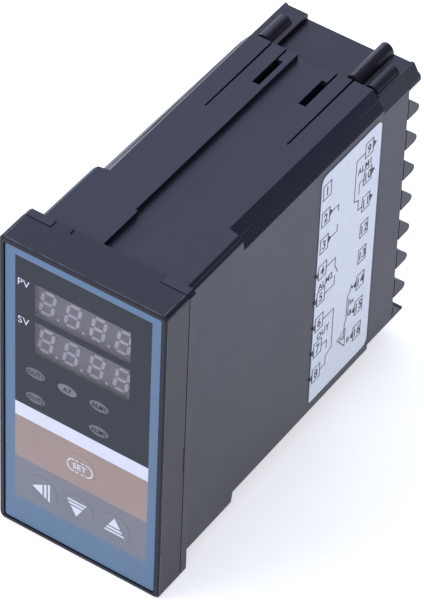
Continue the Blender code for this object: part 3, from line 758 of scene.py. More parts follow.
lamp_smoke = mottled("lamp_smoke", (0.080, 0.088, 0.100), (0.110, 0.120, 0.138), 500.0, (0.25, 0.4))
lamp_pale = mottled("lamp_pale", (0.115, 0.123, 0.136), (0.155, 0.166, 0.184), 500.0, (0.25, 0.4))
lamp_dark = printed_ink("lamp_dark", (0.009, 0.010, 0.014))
for name, (x, z) in lamp_centres.items():
    _, (_, rear), _ = box_of(f"lamp_{name}")
    pipe_front, alone = FILM_FRONT + 0.8, name == "at"
    lens = flat_sheet([oval(x, z, LAMP_HALF_W, LAMP_HALF_H)], FILM_FRONT + 0.02, 1.0)
    pipe = flat_sheet([oval(x, z, LAMP_HALF_W - 0.25, LAMP_HALF_H - 0.25)], pipe_front, rear - pipe_front)
    width = 1.05 if alone else 0.95
    mark = lettering(name.upper(), x, z - 0.05, 1.35, FILM_FRONT - 0.01, 0.05, wide=width, heavy=0.045)
    finishes = [lamp_pale if alone else lamp_smoke, lamp_smoke, lamp_dark]
    lamp_piece = finish_mesh(f"lamp_{name}_lens", gather([lens, pipe, mark]), finishes)
    belongs(lamp_piece, "front_unit", "lamp_lens", f"lamp_{name}")

# ------------------------------------------------------------ keys
# Each key is a round cap under a dished and ringed part of the film. The
# cap's flange holds it in, and its foot bears on the stem of its own switch.

CAP_R = 4.68
CAP_PROFILE = (
    (0.0, 0.355), (2.4, 0.35), (3.6, 0.335), (3.95, 0.30), (4.15, 0.255), (4.32, 0.235), (4.48, 0.255),
    (4.6, 0.30), (CAP_R, 0.335), (CAP_R, 3.2), (4.98, 3.34), (4.98, 4.06), (1.98, 4.15), (1.98, 4.58), (0.0, 4.58),
)


def turned_cap(x, z, profile, steps=64):
    """A solid of revolution about the line through (x, z) that runs back from the face."""
    bm = bmesh.new()
    rings = []
    for radius, depth in profile:
        spots = ring(x, z, radius, steps) if radius else [(x, z)]
        rings.append([bm.verts.new(at(across, depth, height)) for across, height in spots])
    for near, far in zip(rings, rings[1:]):
        for i in range(steps):
            j = (i + 1) % steps
            here = (near[i], near[j]) if len(near) > 1 else (near[0],)
            there = (far[j], far[i]) if len(far) > 1 else (far[0],)
            bm.faces.new(here + there)
    bmesh.ops.recalc_face_normals(bm, faces=bm.faces)
    return bm


def striped_arrow(x, z, way, half, length):
    """A triangle cut into a solid tip and two bars. The tip points the given way."""
    cuts = ((0.0, 0.58), (0.67, 0.80), (0.89, 1.0))
    shapes = []
    for start, end in cuts:
        near, far = (start * length, start * half), (end * length, end * half)
        shape = [(-near[1], near[0]), (near[1], near[0]), (far[1], far[0]), (-far[1], far[0])]
        if start == 0.0:
            shape = [(0.0, 0.0), shape[2], shape[3]]
        turned = []
        for across, back in shape:
            back -= length / 2
            spot = {"left": (back, across), "down": (across, back), "up": (-across, -back)}[way]
            turned.append((x + spot[0], z + spot[1]))
        shapes.append(turned)
    return shapes


def dashed_pill(x, z, half_w, half_h, radius, stroke):
    """The two end arcs and the two pairs of dashes that frame the set mark."""
    shapes = []
    for side in (-1, 1):
        outer, inner = [], []
        for step in range(17):
            angle = math.radians(-98 + step * 196 / 16)
            for points, grow in ((outer, stroke / 2), (inner, -stroke / 2)):
                reach = radius + grow
                across = half_w - radius + reach * math.cos(angle)
                points.append((x + side * across, z + reach * math.sin(angle) * half_h / radius))
        shapes.append(outer + inner[::-1])
    for rise in (-1, 1):
        for left, right in ((-1.35, -0.45), (0.35, 1.25)):
            low, high = z + rise * half_h - stroke / 2, z + rise * half_h + stroke / 2
            shapes.append(box_outline(x + left, x + right, low, high))
    return shapes


KEY_MARKS = {
    "left": striped_arrow(-11.55, -31.0, "left", 3.15, 5.3),
    "down": striped_arrow(-0.95, -31.45, "down", 3.05, 5.3),
    "up": striped_arrow(10.35, -30.4, "up", 3.05, 5.4),
    "set": dashed_pill(-0.1, -16.55, 3.7, 1.95, 1.75, 0.34),
}


def make_key(name):
    x, z = key_centres[name]
    marks = [flat_sheet([shape], 0.31, 0.08) for shape in KEY_MARKS[name]]
    if name == "set":
        marks.append(lettering("SET", -0.2, -16.5, 1.95, 0.31, 0.08, wide=0.95, heavy=0.035))
    parts = gather([turned_cap(x, z, CAP_PROFILE), merge(marks)])
    cap = finish_mesh(f"key_{name}_cap", parts, [ink_tan if name == "set" else ink_grey, ink_white])
    belongs(cap, f"key_{name}_cap", "key_cap", f"key_{name}")


for name in key_centres:
    make_key(name)

# ------------------------------------------------------------ the wiring sticker
# A white paper sticker on the sleeve's right side gives the terminal
# numbers in two columns, with thin printed lines for the relay contacts.

(label_x, label_depths, label_heights) = box_of("case_label")
LABEL_T = 0.15
COLUMN_DEPTHS = (71.8, 90.6)
FIRST_ROW, ROW_PITCH = 33.4, 8.93
MARK_HALF_W, MARK_HALF_H = 1.72, 2.35
LINE = 0.3


def facing_right(point, lift, thick):
    """Lays a flat drawing on the drafted right side: x becomes depth and y becomes height."""
    near, far = label_depths
    share = (point.x - near) / (far - near)
    side = label_x[1] + (label_x[0] + LABEL_T - label_x[1]) * share
    return at(side + lift + thick / 2 + point.z, point.x, point.y)


def stroke_path(points, width=LINE):
    """A printed line through points, as one box for each straight run."""
    shapes = []
    for (a, b), (c, d) in zip(points, points[1:]):
        along = Vector((c - a, d - b)).normalized() * width / 2
        across = Vector((-along.y, along.x))
        start, end = Vector((a, b)) - along, Vector((c, d)) + along
        corners = (start - across, end - across, end + across, start + across)
        shapes.append([tuple(corner) for corner in corners])
    return shapes


def frame_shapes(x, z, half_w, half_h, width=LINE):
    (left, right), (low, high) = about(x, half_w), about(z, half_h)
    corners = [(left, low), (right, low), (right, high), (left, high)]
    return stroke_path(corners + corners[:1], width)


def pointer(x, z, way):
    """A small solid triangle beside a number's box. It points to the front (-1) or the rear (1)."""
    root = x + way * (MARK_HALF_W - 0.15)
    return [(root, z - 1.5), (root, z + 1.5), (root + way * 1.65, z)]


def row_height(row):
    return FIRST_ROW - ROW_PITCH * row


front_col, rear_col = COLUMN_DEPTHS
printed_shapes = []
for column in COLUMN_DEPTHS:
    for row in range(8):
        printed_shapes += frame_shapes(column, row_height(row), MARK_HALF_W, MARK_HALF_H)
for row, way in ((1, 1), (2, 1), (3, -1), (4, -1), (5, -1), (6, -1), (7, -1)):
    printed_shapes.append(pointer(front_col, row_height(row) + (0.1 if way > 0 else -0.3), way))
for row, way in ((0, 1), (1, 1), (2, 1), (5, -1), (6, -1), (7, -1)):
    printed_shapes.append(pointer(rear_col, row_height(row), way))
WIRES = (
    ((74.3, 24.4), (77.6, 24.4), (77.6, 22.4)),
    ((74.3, 15.6), (77.6, 15.6), (77.6, 17.7)),
    ((73.5, 6.4), (77.7, 6.4), (77.7, 3.6), (79.2, 0.6)),
    ((73.5, -2.8), (77.85, -2.8), (77.85, 0.2)),
    ((73.5, -11.6), (78.45, -11.6), (78.45, -25.1), (75.9, -26.3), (75.9, -29.2), (73.5, -29.2)),
    ((73.5, -20.7), (76.0, -20.7), (76.0, -23.5)),
    ((88.9, 33.0), (84.95, 33.0), (84.95, 19.5), (87.0, 18.6), (87.0, 15.2), (88.9, 15.2)),
    ((88.9, 24.4), (86.95, 24.4), (86.95, 20.9)),
    ((86.2, -11.6), (84.9, -12.7), (84.9, -21.0), (84.3, -21.5), (84.3, -27.0)),
    ((86.2, -19.9), (85.6, -19.9), (85.6, -14.0)),
)
for wire in WIRES:
    printed_shapes += stroke_path(wire)
sensor = ((81.2, -25.4), (84.9, -29.9), (84.9, -23.8), (81.2, -25.4))
printed_shapes += stroke_path(sensor, 0.28)
marks = [flat_sheet([shape], 0.0, 0.025, facing_right) for shape in printed_shapes]
on_paper = (0.0, 0.03, facing_right)
for column, depth in enumerate(COLUMN_DEPTHS):
    for row in range(8):
        words = str(column * 8 + row + 1)
        marks.append(lettering(words, depth, row_height(row), 2.9, *on_paper, wide=0.85, heavy=0.055))
for words, depth, height, size in (
    ("ALM1", 89.1, 28.6, 2.1), ("ALM2", 73.6, 1.6, 2.1), ("OUT", 73.9, -16.1, 2.1),
    ("A", 86.6, -10.6, 1.8), ("Rt", 87.1, -15.9, 1.6), ("B", 86.7, -19.4, 1.8), ("B", 86.4, -28.9, 1.8),
    ("TC", 83.4, -26.3, 1.3),
):
    marks.append(lettering(words, depth, height, size, *on_paper, wide=0.9, heavy=0.05))

sticker_paper = mottled(
    "sticker_paper", (0.745, 0.785, 0.88), (0.80, 0.845, 0.94), 900.0, (0.4, 0.55), bump=0.1
)


def sticker_outline():
    (near, far), (low, high) = label_depths, label_heights
    points = [(near + 0.4, low), (far - 2.2, low)]
    points += [(far - 2.2 + 2.2 * math.sin(a), low + 2.2 - 2.2 * math.cos(a)) for a in (0.4, 0.8, 1.2, 1.57)]
    turn = (0.0, 0.4, 0.8, 1.2, 1.57)
    points += [(far - 2.0 + 2.0 * math.cos(a), high - 2.0 + 2.0 * math.sin(a)) for a in turn]
    points += [(near + 2.0 - 2.0 * math.sin(a), high - 2.0 + 2.0 * math.cos(a)) for a in turn]
    points.append((near, low + 0.4))
    return points


sheet = flat_sheet([sticker_outline()], -LABEL_T, LABEL_T - 0.01, facing_right)
sticker_ink = printed_ink("sticker_ink", (0.018, 0.018, 0.032))
sticker = finish_mesh("wiring_sticker", gather([sheet, merge(marks)]), [sticker_paper, sticker_ink])
belongs(sticker, "case", "sticker_paper", "case_label")

# ------------------------------------------------------------ the terminal block
# A second dark moulding closes the rear. Barriers stand between the screws,
# and half-round ribs and a key ridge on its ears line it up in the sleeve.

block_plastic = moulded_plastic("block_plastic", (0.017, 0.017, 0.022), grain_size=1800.0, dust=0.3)
block = eased_copy("terminal_block_moulding", "terminal_block", block_plastic, 0.2, 0.8)
belongs(block, "case", "dark_moulding", "terminal_block")
SPINE_DEPTH, NUMERAL_X, NUMERAL_H = 108.0, 5.2, 2.6


def facing_rear(point, depth, thick):
    """Lays a flat drawing on a plane at the rear, to be read from behind."""
    return at(-point.x, depth + point.z, point.y)


screw_nodes = [f"terminal_screw_{number:02d}" for number in range(1, 17)]
screw_places = [centre_of(node) for node in screw_nodes]
numerals = []
for number, (x, z) in enumerate(screw_places, 1):
    place = -math.copysign(NUMERAL_X, x)
    numerals.append(lettering(str(number), place, z, NUMERAL_H, SPINE_DEPTH, 0.3, facing_rear))
numbers = finish_mesh("terminal_numbers", merge(numerals), [printed_ink("number_ink", (0.55, 0.56, 0.58))])
belongs(numbers, "case", "printed_film")

# ------------------------------------------------------------ terminal screws
# Sixteen nickel-plated pan heads with cross recesses, each with a captive
# square washer over a bent clamp plate. One tree sets them out in two columns.

ROWS = 8
SEAT = 102.3
ROW_STEP = abs(screw_places[0][1] - screw_places[1][1])
COLUMN_SPREAD = screw_places[0][0] - screw_places[8][0]

nickel = mottled("nickel_plate", (0.42, 0.41, 0.38), (0.66, 0.65, 0.62), 900.0, (0.2, 0.42), metallic=1.0)
HEAD_PROFILE = (
    (0.0, 105.35), (1.1, 105.5), (2.1, 105.3), (2.75, 104.9), (3.0, 104.35), (3.0, 103.35), (2.9, 103.25),
    (1.5, 103.2), (1.5, 99.3), (0.0, 99.2),
)


def cross_cutter():
    """Two tapered blades that sink the cross recess, about the screw's own axis."""
    bm = bmesh.new()
    for turn in (0.0, math.pi / 2):
        made = bmesh.ops.create_cube(bm, size=1.0)
        verts = made["verts"]
        bmesh.ops.scale(bm, vec=(3.9 * MM, 3.0 * MM, 0.78 * MM), verts=verts)
        for vert in verts:
            if vert.co.y < 0:
                vert.co.x *= 0.45
                vert.co.z *= 0.6
        bmesh.ops.rotate(bm, cent=(0, 0, 0), matrix=Matrix.Rotation(turn, 3, "Y"), verts=verts)
    return bm


def boxes(*spans):
    """Closed boxes, each from its two values of x, depth and height in millimetres."""
    bm = bmesh.new()
    for xs, depths, heights in spans:
        add_box(bm, xs, depths, heights)
    return bm


def ease(bm, width, segments=2):
    """Rounds every sharp edge of a bmesh."""
    sharp = [e for e in bm.edges if len(e.link_faces) == 2 and e.calc_face_angle() > math.radians(30)]
    bmesh.ops.bevel(
        bm, geom=sharp, offset=width * MM, offset_type="OFFSET", segments=segments, profile=0.5,
        affect="EDGES", clamp_overlap=True,
    )
    return bm


def make_one_screw():
    """A screw, its washer and its clamp plate about the first terminal."""
    screw = finish_mesh("one_screw", turned_cap(0, 0, HEAD_PROFILE, 28), [nickel])
    cutter_mesh = cross_cutter()
    bmesh.ops.translate(cutter_mesh, vec=at(0, 105.7, 0), verts=cutter_mesh.verts)
    cutter = finish_mesh("cross_cutter", cutter_mesh, [nickel])
    step = screw.modifiers.new("recess", "BOOLEAN")
    step.operation = "DIFFERENCE"
    step.solver = "EXACT"
    step.object = cutter
    step.use_self = True
    head = bmesh.new()
    head.from_mesh(plain_mesh(screw))
    washer = ease(boxes(((-3.6, 3.6), (SEAT + 0.3, SEAT + 0.9), (-3.5, 3.5))), 0.18)
    plate = ease(boxes(((-3.9, 5.0), about(SEAT, 0.25), (-3.3, 3.3))), 0.15)
    whole = merge([head, washer, plate])
    whole.to_mesh(screw.data)
    whole.free()
    screw.data.shade_smooth()
    screw.data.set_sharp_from_angle(angle=math.radians(30))
    bpy.data.objects.remove(cutter)
    return screw


def repeat_tree(name, lines):
    """A tree that repeats one piece: in columns and rows, or at each point of a mesh."""
    tree = bpy.data.node_groups.new(name, "GeometryNodeTree")
    face = tree.interface
    face.new_socket("Geometry", in_out="INPUT", socket_type="NodeSocketGeometry")
    entries = [("Piece", "NodeSocketObject"), ("Finish", "NodeSocketMaterial")]
    for line in lines:
        entries += [(f"{line} Count", "NodeSocketInt"), (f"{line} Step", "NodeSocketVector")]
    sockets = {
        entry: face.new_socket(entry, in_out="INPUT", socket_type=kind).identifier for entry, kind in entries
    }
    face.new_socket("Geometry", in_out="OUTPUT", socket_type="NodeSocketGeometry")
    start, end = tree.nodes.new("NodeGroupInput"), tree.nodes.new("NodeGroupOutput")
    piece = add_node(tree, "GeometryNodeObjectInfo", sources={"Object": (start, "Piece")})
    held = (piece, "Geometry")
    for line in lines or [None]:
        points = (start, "Geometry")
        if line:
            sources = {"Count": (start, f"{line} Count"), "Offset": (start, f"{line} Step")}
            points = (add_node(tree, "GeometryNodeMeshLine", sources=sources), "Mesh")
        spread = add_node(tree, "GeometryNodeInstanceOnPoints", sources={"Points": points, "Instance": held})
        held = (spread, "Instances")
    realise = add_node(tree, "GeometryNodeRealizeInstances", sources={"Geometry": held})
    sources = {"Geometry": (realise, "Geometry"), "Material": (start, "Finish")}
    finish = add_node(tree, "GeometryNodeSetMaterial", sources=sources)
    link(tree, finish, "Geometry", end, "Geometry")
    return tree, sockets


GRID = repeat_tree("rows_and_columns", ("Row", "Column"))
SCATTER = repeat_tree("on_points", ())


def repeated(name, piece, finish, tree_sockets, points, values):
    """Copies of a piece as one plain mesh object. The piece itself is removed."""
    tree, sockets = tree_sockets
    mesh = bpy.data.meshes.new(name)
    mesh.from_pydata(points, [], [])
    holder = in_scene(name, mesh)
    spread = holder.modifiers.new("repeat", "NODES")
    spread.node_group = tree
    for entry, value in {"Piece": piece, "Finish": finish, **values}.items():
        spread[sockets[entry]] = value
    holder.data = plain_mesh(holder)
    if not holder.data.materials:
        holder.data.materials.append(finish)
    bpy.data.objects.remove(piece)
    return holder


def set_out(name, piece, finish, first, rows, row_step, columns=1, column_step=(0, 0, 0)):
    """Copies of a piece in rows and columns from the first place; steps are in millimetres."""
    values = {"Row Count": rows, "Row Step": [step * MM for step in row_step],
              "Column Count": columns, "Column Step": [step * MM for step in column_step]}
    holder = repeated(name, piece, finish, GRID, [], values)
    holder.data.transform(Matrix.Translation(at(*first) - at(0, 0, 0)))
    return holder


x_left, z_low = screw_places[15]
screws = set_out(
    "terminal_screws", make_one_screw(), nickel,
    (x_left, 0, z_low), ROWS, (0, 0, ROW_STEP), 2, (COLUMN_SPREAD, 0, 0),
)
belongs(screws, "case", "nickel_steel", *screw_nodes)


# ------------------------------------------------------------ circuit boards
# Three glass-epoxy boards under green solder mask: a display board behind the
# bezel and two side boards, with rows of tracks, tinned joints and printed outlines.

TRACK_W, LAYER_T = 0.4, 0.04
FINGER_ROWS, FINGER_STEP = 14, 5.08
FIRST_FINGER = (0, 0, -FINGER_STEP * (FINGER_ROWS - 1) / 2)

board_green = mottled("board_green", (0.010, 0.085, 0.036), (0.016, 0.120, 0.050), 160.0, (0.28, 0.42))
track_green = mottled("track_green", (0.022, 0.175, 0.070), (0.030, 0.210, 0.085), 260.0, (0.24, 0.36))
board_print = printed_ink("board_print", (0.62, 0.63, 0.60))
tin = mottled("tin", (0.46, 0.46, 0.47), (0.70, 0.70, 0.71), 1400.0, (0.18, 0.40), metallic=1.0, bump=0.2)
gold = mottled("gold_flash", (0.70, 0.47, 0.15), (0.84, 0.60, 0.24), 700.0, (0.20, 0.34), metallic=1.0)


def on_side(point, x, thick):
    """Lays a flat drawing on a plane across the width: x becomes depth and y becomes height."""
    return at(x + thick / 2 + point.z, point.x, point.y)


def track_bus(start, rise, runs, lines, pitch=0.9):
    """Parallel tracks that step across at 45 degrees half way, each with a round pad at its end."""
    shapes = []
    (a, b), (first, second) = start, runs
    for line in range(lines):
        shift = line * pitch
        bend = a + first - shift * math.tan(math.radians(22.5)) * math.copysign(1, rise)
        points = [(a, b + shift), (bend, b + shift), (bend + abs(rise), b + shift + rise)]
        points.append((a + first + abs(rise) + second, b + shift + rise))
        shapes += stroke_path(points, TRACK_W)
        shapes += [ring(*points[0], 0.5, 10), ring(*points[-1], 0.5, 10)]
    return shapes


def joints(name, points, body="front_unit", size=0.85):
    """Low domes of solder, one at each point, with their tops facing out of the board."""
    dome = bmesh.new()
    bmesh.ops.create_uvsphere(dome, u_segments=8, v_segments=5, radius=size * MM)
    piece = finish_mesh("one_joint", dome, [tin], 80)
    solder = repeated(name, piece, tin, SCATTER, [at(*point) for point in points], {})
    solder.data.shade_smooth()
    belongs(solder, body, "circuit_board")


def make_board(name, place, planes, outline, holes, track_shapes, print_shapes):
    """A board with tracks and printed outlines on both its faces, given as two planes."""
    low, high = planes
    slab = flat_sheet([outline] + holes, low, high - low, place)
    parts = [slab]
    for shapes in (track_shapes, print_shapes):
        planes = (low - LAYER_T, high)
        sheets = [flat_sheet([shape], plane, LAYER_T, place) for plane in planes for shape in shapes]
        parts.append(merge(sheets))
    board = finish_mesh(name + "_built", gather(parts), [board_green, track_green, board_print])
    belongs(board, "front_unit", "circuit_board", name)


rng = random.Random(96)


def scattered_buses(left, right, low, high, count):
    """Track groups spread over a board: one to each band of height."""
    shapes = []
    band = (high - low) / count
    for number in range(count):
        lines = rng.choice((3, 4, 5))
        rise = rng.choice((-1, 1)) * rng.uniform(1.2, band * 0.3)
        start = (left + rng.uniform(0, 4), low + band * (number + 0.5) - lines * 0.45 - rise / 2)
        first = rng.uniform(0.2, 0.6) * (right - left - 8)
        second = right - left - 4 - first - abs(rise) - rng.uniform(0, 5)
        shapes += track_bus(start, rise, (first, max(second, 2)), lines)
    return shapes


CAD_BOARDS = {name: box_of(name) for name in ("display_board", "main_board", "power_board")}
(xs, depths, heights) = CAD_BOARDS["display_board"]
make_board(
    "display_board", facing_front, depths, rounded_box(xs[1], heights[1], 0.8, 2),
    [ring(x, z, 1.1, 16) for x in (-15.2, 15.2) for z in (-38.0, 38.0)],
    scattered_buses(-14.0, 14.0, -36.0, 36.0, 9),
    frame_shapes(0, 31.6, 14.6, 5.8, 0.2) + frame_shapes(0, 19.0, 14.6, 5.8, 0.2),
)
for name in ("main_board", "power_board"):
    (xs, (near, far), (low, high)) = CAD_BOARDS[name]
    outline = [(near, low + 1), (near + 1, low), (far - 7, low), (far - 7, low + 1.5), (far - 0.8, low + 1.5)]
    outline += [(far, low + 2.3), (far, high - 2.3), (far - 0.8, high - 1.5), (far - 7, high - 1.5)]
    outline += [(far - 7, high), (near + 1, high), (near, high - 1)]
    holes = [ring(depth, z, 1.4, 20) for depth in (near + 4.5, far - 14.0) for z in (low + 3.5, high - 3.5)]
    if name == "power_board":
        can_mark = ring(38, -18, 8.4, 24)
        outlines = frame_shapes(34, 7, 10.3, 11.3, 0.2) + stroke_path(can_mark + can_mark[:1], 0.2)
        for height in (-22.25, -2.25, 17.75):
            outlines += frame_shapes(73.5, height, 9.8, 8.1, 0.2)
        slot_cut = [box_outline(57.2, 58.8, -31.0, 24.0)]
    else:
        outlines = frame_shapes(42, 0, 8.4, 8.4, 0.2) + frame_shapes(66, 14, 5.6, 4.2, 0.2)
        slot_cut = []
    tracks = scattered_buses(near + 4, 56.0 if slot_cut else far - 14.0, low + 6, high - 6, 7)
    if slot_cut:
        tracks += scattered_buses(60.0, far - 12, low + 6, high - 6, 6)
    make_board(name, on_side, xs, outline, holes + slot_cut, tracks, outlines)
    planes = [(x, x + 0.05) for x in (xs[0] - 0.045, xs[1] - 0.005)]
    finger = boxes(*[(plane, (far - 6.5, far - 0.9), (-1.25, 1.25)) for plane in planes])
    piece = finish_mesh("one_finger", finger, [gold])
    fingers = set_out(name + "_fingers", piece, gold, FIRST_FINGER, FINGER_ROWS, (0, 0, FINGER_STEP))
    belongs(fingers, "front_unit", "circuit_board")

# Every lead that goes through a board ends in a joint on the board's other face.
outer_right, outer_left = CAD_BOARDS["power_board"][0][1] + 0.05, CAD_BOARDS["main_board"][0][0] - 0.05
relay_boxes = [box_of(name) for name in ("output_relay", "alarm_relay_1", "alarm_relay_2")]
right_leads = []
for (_, (near, far), (low, high)) in relay_boxes:
    right_leads += [(near + 2.2, low + 2.5), (near + 2.2, high - 2.5), (far - 2.4, (low + high) / 2)]
    right_leads += [(far - 6.5, low + 2.5), (far - 6.5, high - 2.5)]
right_leads += [(depth, height) for depth in (26.0, 42.0) for height in (-2.0, 4.0, 10.0, 16.0)]
right_leads += [(50.0, -21.5), (50.0, -14.5), (40.5, 25.0), (40.5, 29.0)]
loose = [(rng.uniform(18, 54), rng.uniform(-33, 33)) for _ in range(26)]
joints("power_board_joints", [(outer_right, depth, height) for depth, height in right_leads + loose])
loose = [(rng.uniform(18, 82), rng.uniform(-33, 33)) for _ in range(40)]
joints("main_board_joints", [(outer_left, depth, height) for depth, height in loose], size=0.65)
rear_of_display = CAD_BOARDS["display_board"][1][1] + 0.05
display_leads = [(x * 2.54, z) for z in (31.6 - 5.1, 31.6 + 5.1, 19.0 - 5.1, 19.0 + 5.1) for x in range(-4, 5)]
for x, z in key_centres.values():
    display_leads += [(x + dx, z + dz) for dx in (-3.2, 3.2) for dz in (-2.3, 2.3)]
display_leads += [(x + dx, z) for x, z in lamp_centres.values() for dx in (-1.27, 1.27)]
joints("display_board_joints", [(x, rear_of_display, z) for x, z in display_leads], size=0.6)

# ------------------------------------------------------------ board links
# Right-angle pin strips solder each side board to the display board. Their
# black bodies are moulded as a row of small blocks that can be snapped apart.

PIN_STEP, PIN_ROWS = 2.54, 15
strip_black = moulded_plastic("strip_black", (0.016, 0.016, 0.018), grain_size=1600.0, dust=0.1)
for side, name in ((-1, "left"), (1, "right")):
    (xs, (front, rear), _) = box_of(f"board_link_{name}")
    first = (0, 0, -PIN_STEP * (PIN_ROWS - 1) / 2)
    waist = ((xs[0] + 0.35, xs[1] - 0.35), (front + 0.3, rear - 0.3), (-1.28, 1.28))
    block_mesh = ease(boxes((xs, (front, rear), (-1.2, 1.2)), waist), 0.25, segments=1)
    piece = finish_mesh("one_block", block_mesh, [strip_black])
    strip = set_out(f"board_link_{name}_strip", piece, strip_black, first, PIN_ROWS, (0, 0, PIN_STEP))
    belongs(strip, "front_unit", "dark_moulding", f"board_link_{name}")
    middle, inner, half = (front + rear) / 2, side * 10.6, 0.32
    through = (sorted((inner, side * 17.4)), about(middle, half), (-half, half))
    pin = boxes(through, (about(inner, half), (9.9, middle + half), (-half, half)))
    piece = finish_mesh("one_pin", pin, [tin])
    pins = set_out(f"board_link_{name}_pins", piece, tin, first, PIN_ROWS, (0, 0, PIN_STEP))
    belongs(pins, "front_unit", "nickel_steel")

# ------------------------------------------------------------ edge sockets
# Two black sockets stand on the terminal block's front. Sprung, gilded strips
# in their slots bear on the fingers of the side boards as the unit is pushed home.

socket_black = moulded_plastic("socket_black", (0.022, 0.022, 0.026), grain_size=1500.0, dust=0.2)
for side, name in ((-1, "left"), (1, "right")):
    socket = eased_copy(f"edge_socket_{name}_moulding", f"edge_socket_{name}", socket_black, 0.3, 1.0)
    belongs(socket, "case", "dark_moulding", f"edge_socket_{name}")
    planes = [sorted((side * near, side * far)) for near, far in ((14.93, 15.12), (16.88, 17.07))]
    strips = boxes(*[(plane, (89.5, 96.3), (-1.1, 1.1)) for plane in planes])
    piece = finish_mesh("one_spring", ease(strips, 0.05, segments=1), [gold])
    springs = set_out(
        f"edge_socket_{name}_springs", piece, gold, FIRST_FINGER, FINGER_ROWS, (0, 0, FINGER_STEP)
    )
    belongs(springs, "case", "nickel_steel")

# ------------------------------------------------------------ key switches
# Four tactile switches on the display board: a black base, a stamped steel
# cover with a round hole and four rivets, and a round stem that the cap presses.

cover_steel = mottled(
    "cover_steel", (0.38, 0.38, 0.39), (0.56, 0.56, 0.57), 1100.0, (0.25, 0.45), metallic=1.0
)
stem_black = moulded_plastic("stem_black", (0.018, 0.018, 0.020), grain_size=1600.0, dust=0.1)
STEM_PROFILE = ((0.0, 4.9), (1.5, 4.9), (1.7, 5.1), (1.7, 8.1), (1.6, 8.2), (0.0, 8.2))
for name, (x, z) in key_centres.items():
    (xs, (front, rear), heights) = box_of(f"key_switch_{name}")
    square = rounded_box(xs[1] - x, heights[1] - z, 0.35, 2, (x, z))
    small = rounded_box(xs[1] - x - 0.25, heights[1] - z - 0.25, 0.3, 2, (x, z))
    hole = ring(x, z, 2.0, 28)
    cover = [flat_sheet([square, hole], front, 0.5)]
    rivet = ((0.0, front - 0.2), (0.35, front - 0.15), (0.5, front), (0.5, front + 0.2), (0.0, front + 0.2))
    cover += [turned_cap(x + dx, z + dz, rivet, 10) for dx in (-2.1, 2.1) for dz in (-2.1, 2.1)]
    feet = [(x + dx, z + dz) for dx in (-3.1, 3.1) for dz in (-2.3, 2.3)]
    cover += [boxes((about(a, 0.12), (rear - 1.6, rear + 0.4), about(b, 0.35))) for a, b in feet]
    base = [flat_sheet([small, hole], front + 0.5, 2.1), flat_sheet([square], front + 2.6, rear - front - 2.6)]
    parts = gather([merge(cover), merge(base)])
    switch = finish_mesh(f"key_switch_{name}_built", parts, [cover_steel, stem_black])
    belongs(switch, "front_unit", "switch_metal", f"key_switch_{name}")
    stem = finish_mesh(f"switch_stem_{name}_built", turned_cap(x, z, STEM_PROFILE, 28), [stem_black])
    belongs(stem, f"key_{name}_cap", "dark_moulding", f"switch_stem_{name}")

# ------------------------------------------------------------ relays
# Three sealed relays stand on the power board, one for the output and one for
# each alarm. A blue cover is glued over a base that carries the five pins.

relay_blue = mottled("relay_blue", (0.020, 0.105, 0.36), (0.028, 0.125, 0.41), 90.0, (0.24, 0.36))
relay_glue = mottled("relay_glue", (0.05, 0.05, 0.06), (0.09, 0.09, 0.10), 600.0, (0.3, 0.5), bump=0.3)
for name, (xs, depths, heights) in zip(("output_relay", "alarm_relay_1", "alarm_relay_2"), relay_boxes):
    (near, far), (low, high) = depths, heights
    cover = ease(boxes(((xs[0], xs[1] - 1.3), depths, heights)), 0.55, segments=3)
    base = boxes(((xs[1] - 1.3, xs[1]), (near + 0.35, far - 0.35), (low + 0.35, high - 0.35)))
    nub = boxes(((xs[0] - 0.25, xs[0] + 0.5), (far - 3.4, far - 2.0), (high - 3.4, high - 2.0)))
    middle = (low + high) / 2
    lines = [
        ((66.0, middle - 5.0), (68.4, middle - 5.0)), ((68.4, middle - 6.2), (72.4, middle - 6.2)),
        ((68.4, middle - 3.8), (72.4, middle - 3.8)), ((68.4, middle - 6.2), (68.4, middle - 3.8)),
        ((72.4, middle - 6.2), (72.4, middle - 3.8)), ((72.4, middle - 5.0), (74.8, middle - 5.0)),
        ((66.0, middle + 1.0), (70.0, middle + 1.0), (74.0, middle + 3.0)),
        ((74.4, middle + 1.0), (79.0, middle + 1.0)),
    ]
    strokes = [shape for line in lines for shape in stroke_path(line, 0.28)]
    diagram = merge([flat_sheet([shape], xs[0] - 0.03, 0.04, on_side) for shape in strokes])
    sides = [about(height, 0.5) for height in (low + 2.5, high - 2.5)]
    pins = boxes(*[((xs[1] - 0.2, 17.3), about(near + 2.2, 0.3), side) for side in sides])
    parts = gather([merge([cover, nub]), base, diagram, pins])
    relay = finish_mesh(name + "_built", parts, [relay_blue, relay_glue, board_print, tin])
    belongs(relay, "front_unit", "relay_blue", name)

# ------------------------------------------------------------ the transformer
# A small supply transformer: a stack of thin core plates round a bobbin whose
# winding is wrapped in yellow tape, on a black foot with two rows of pins.

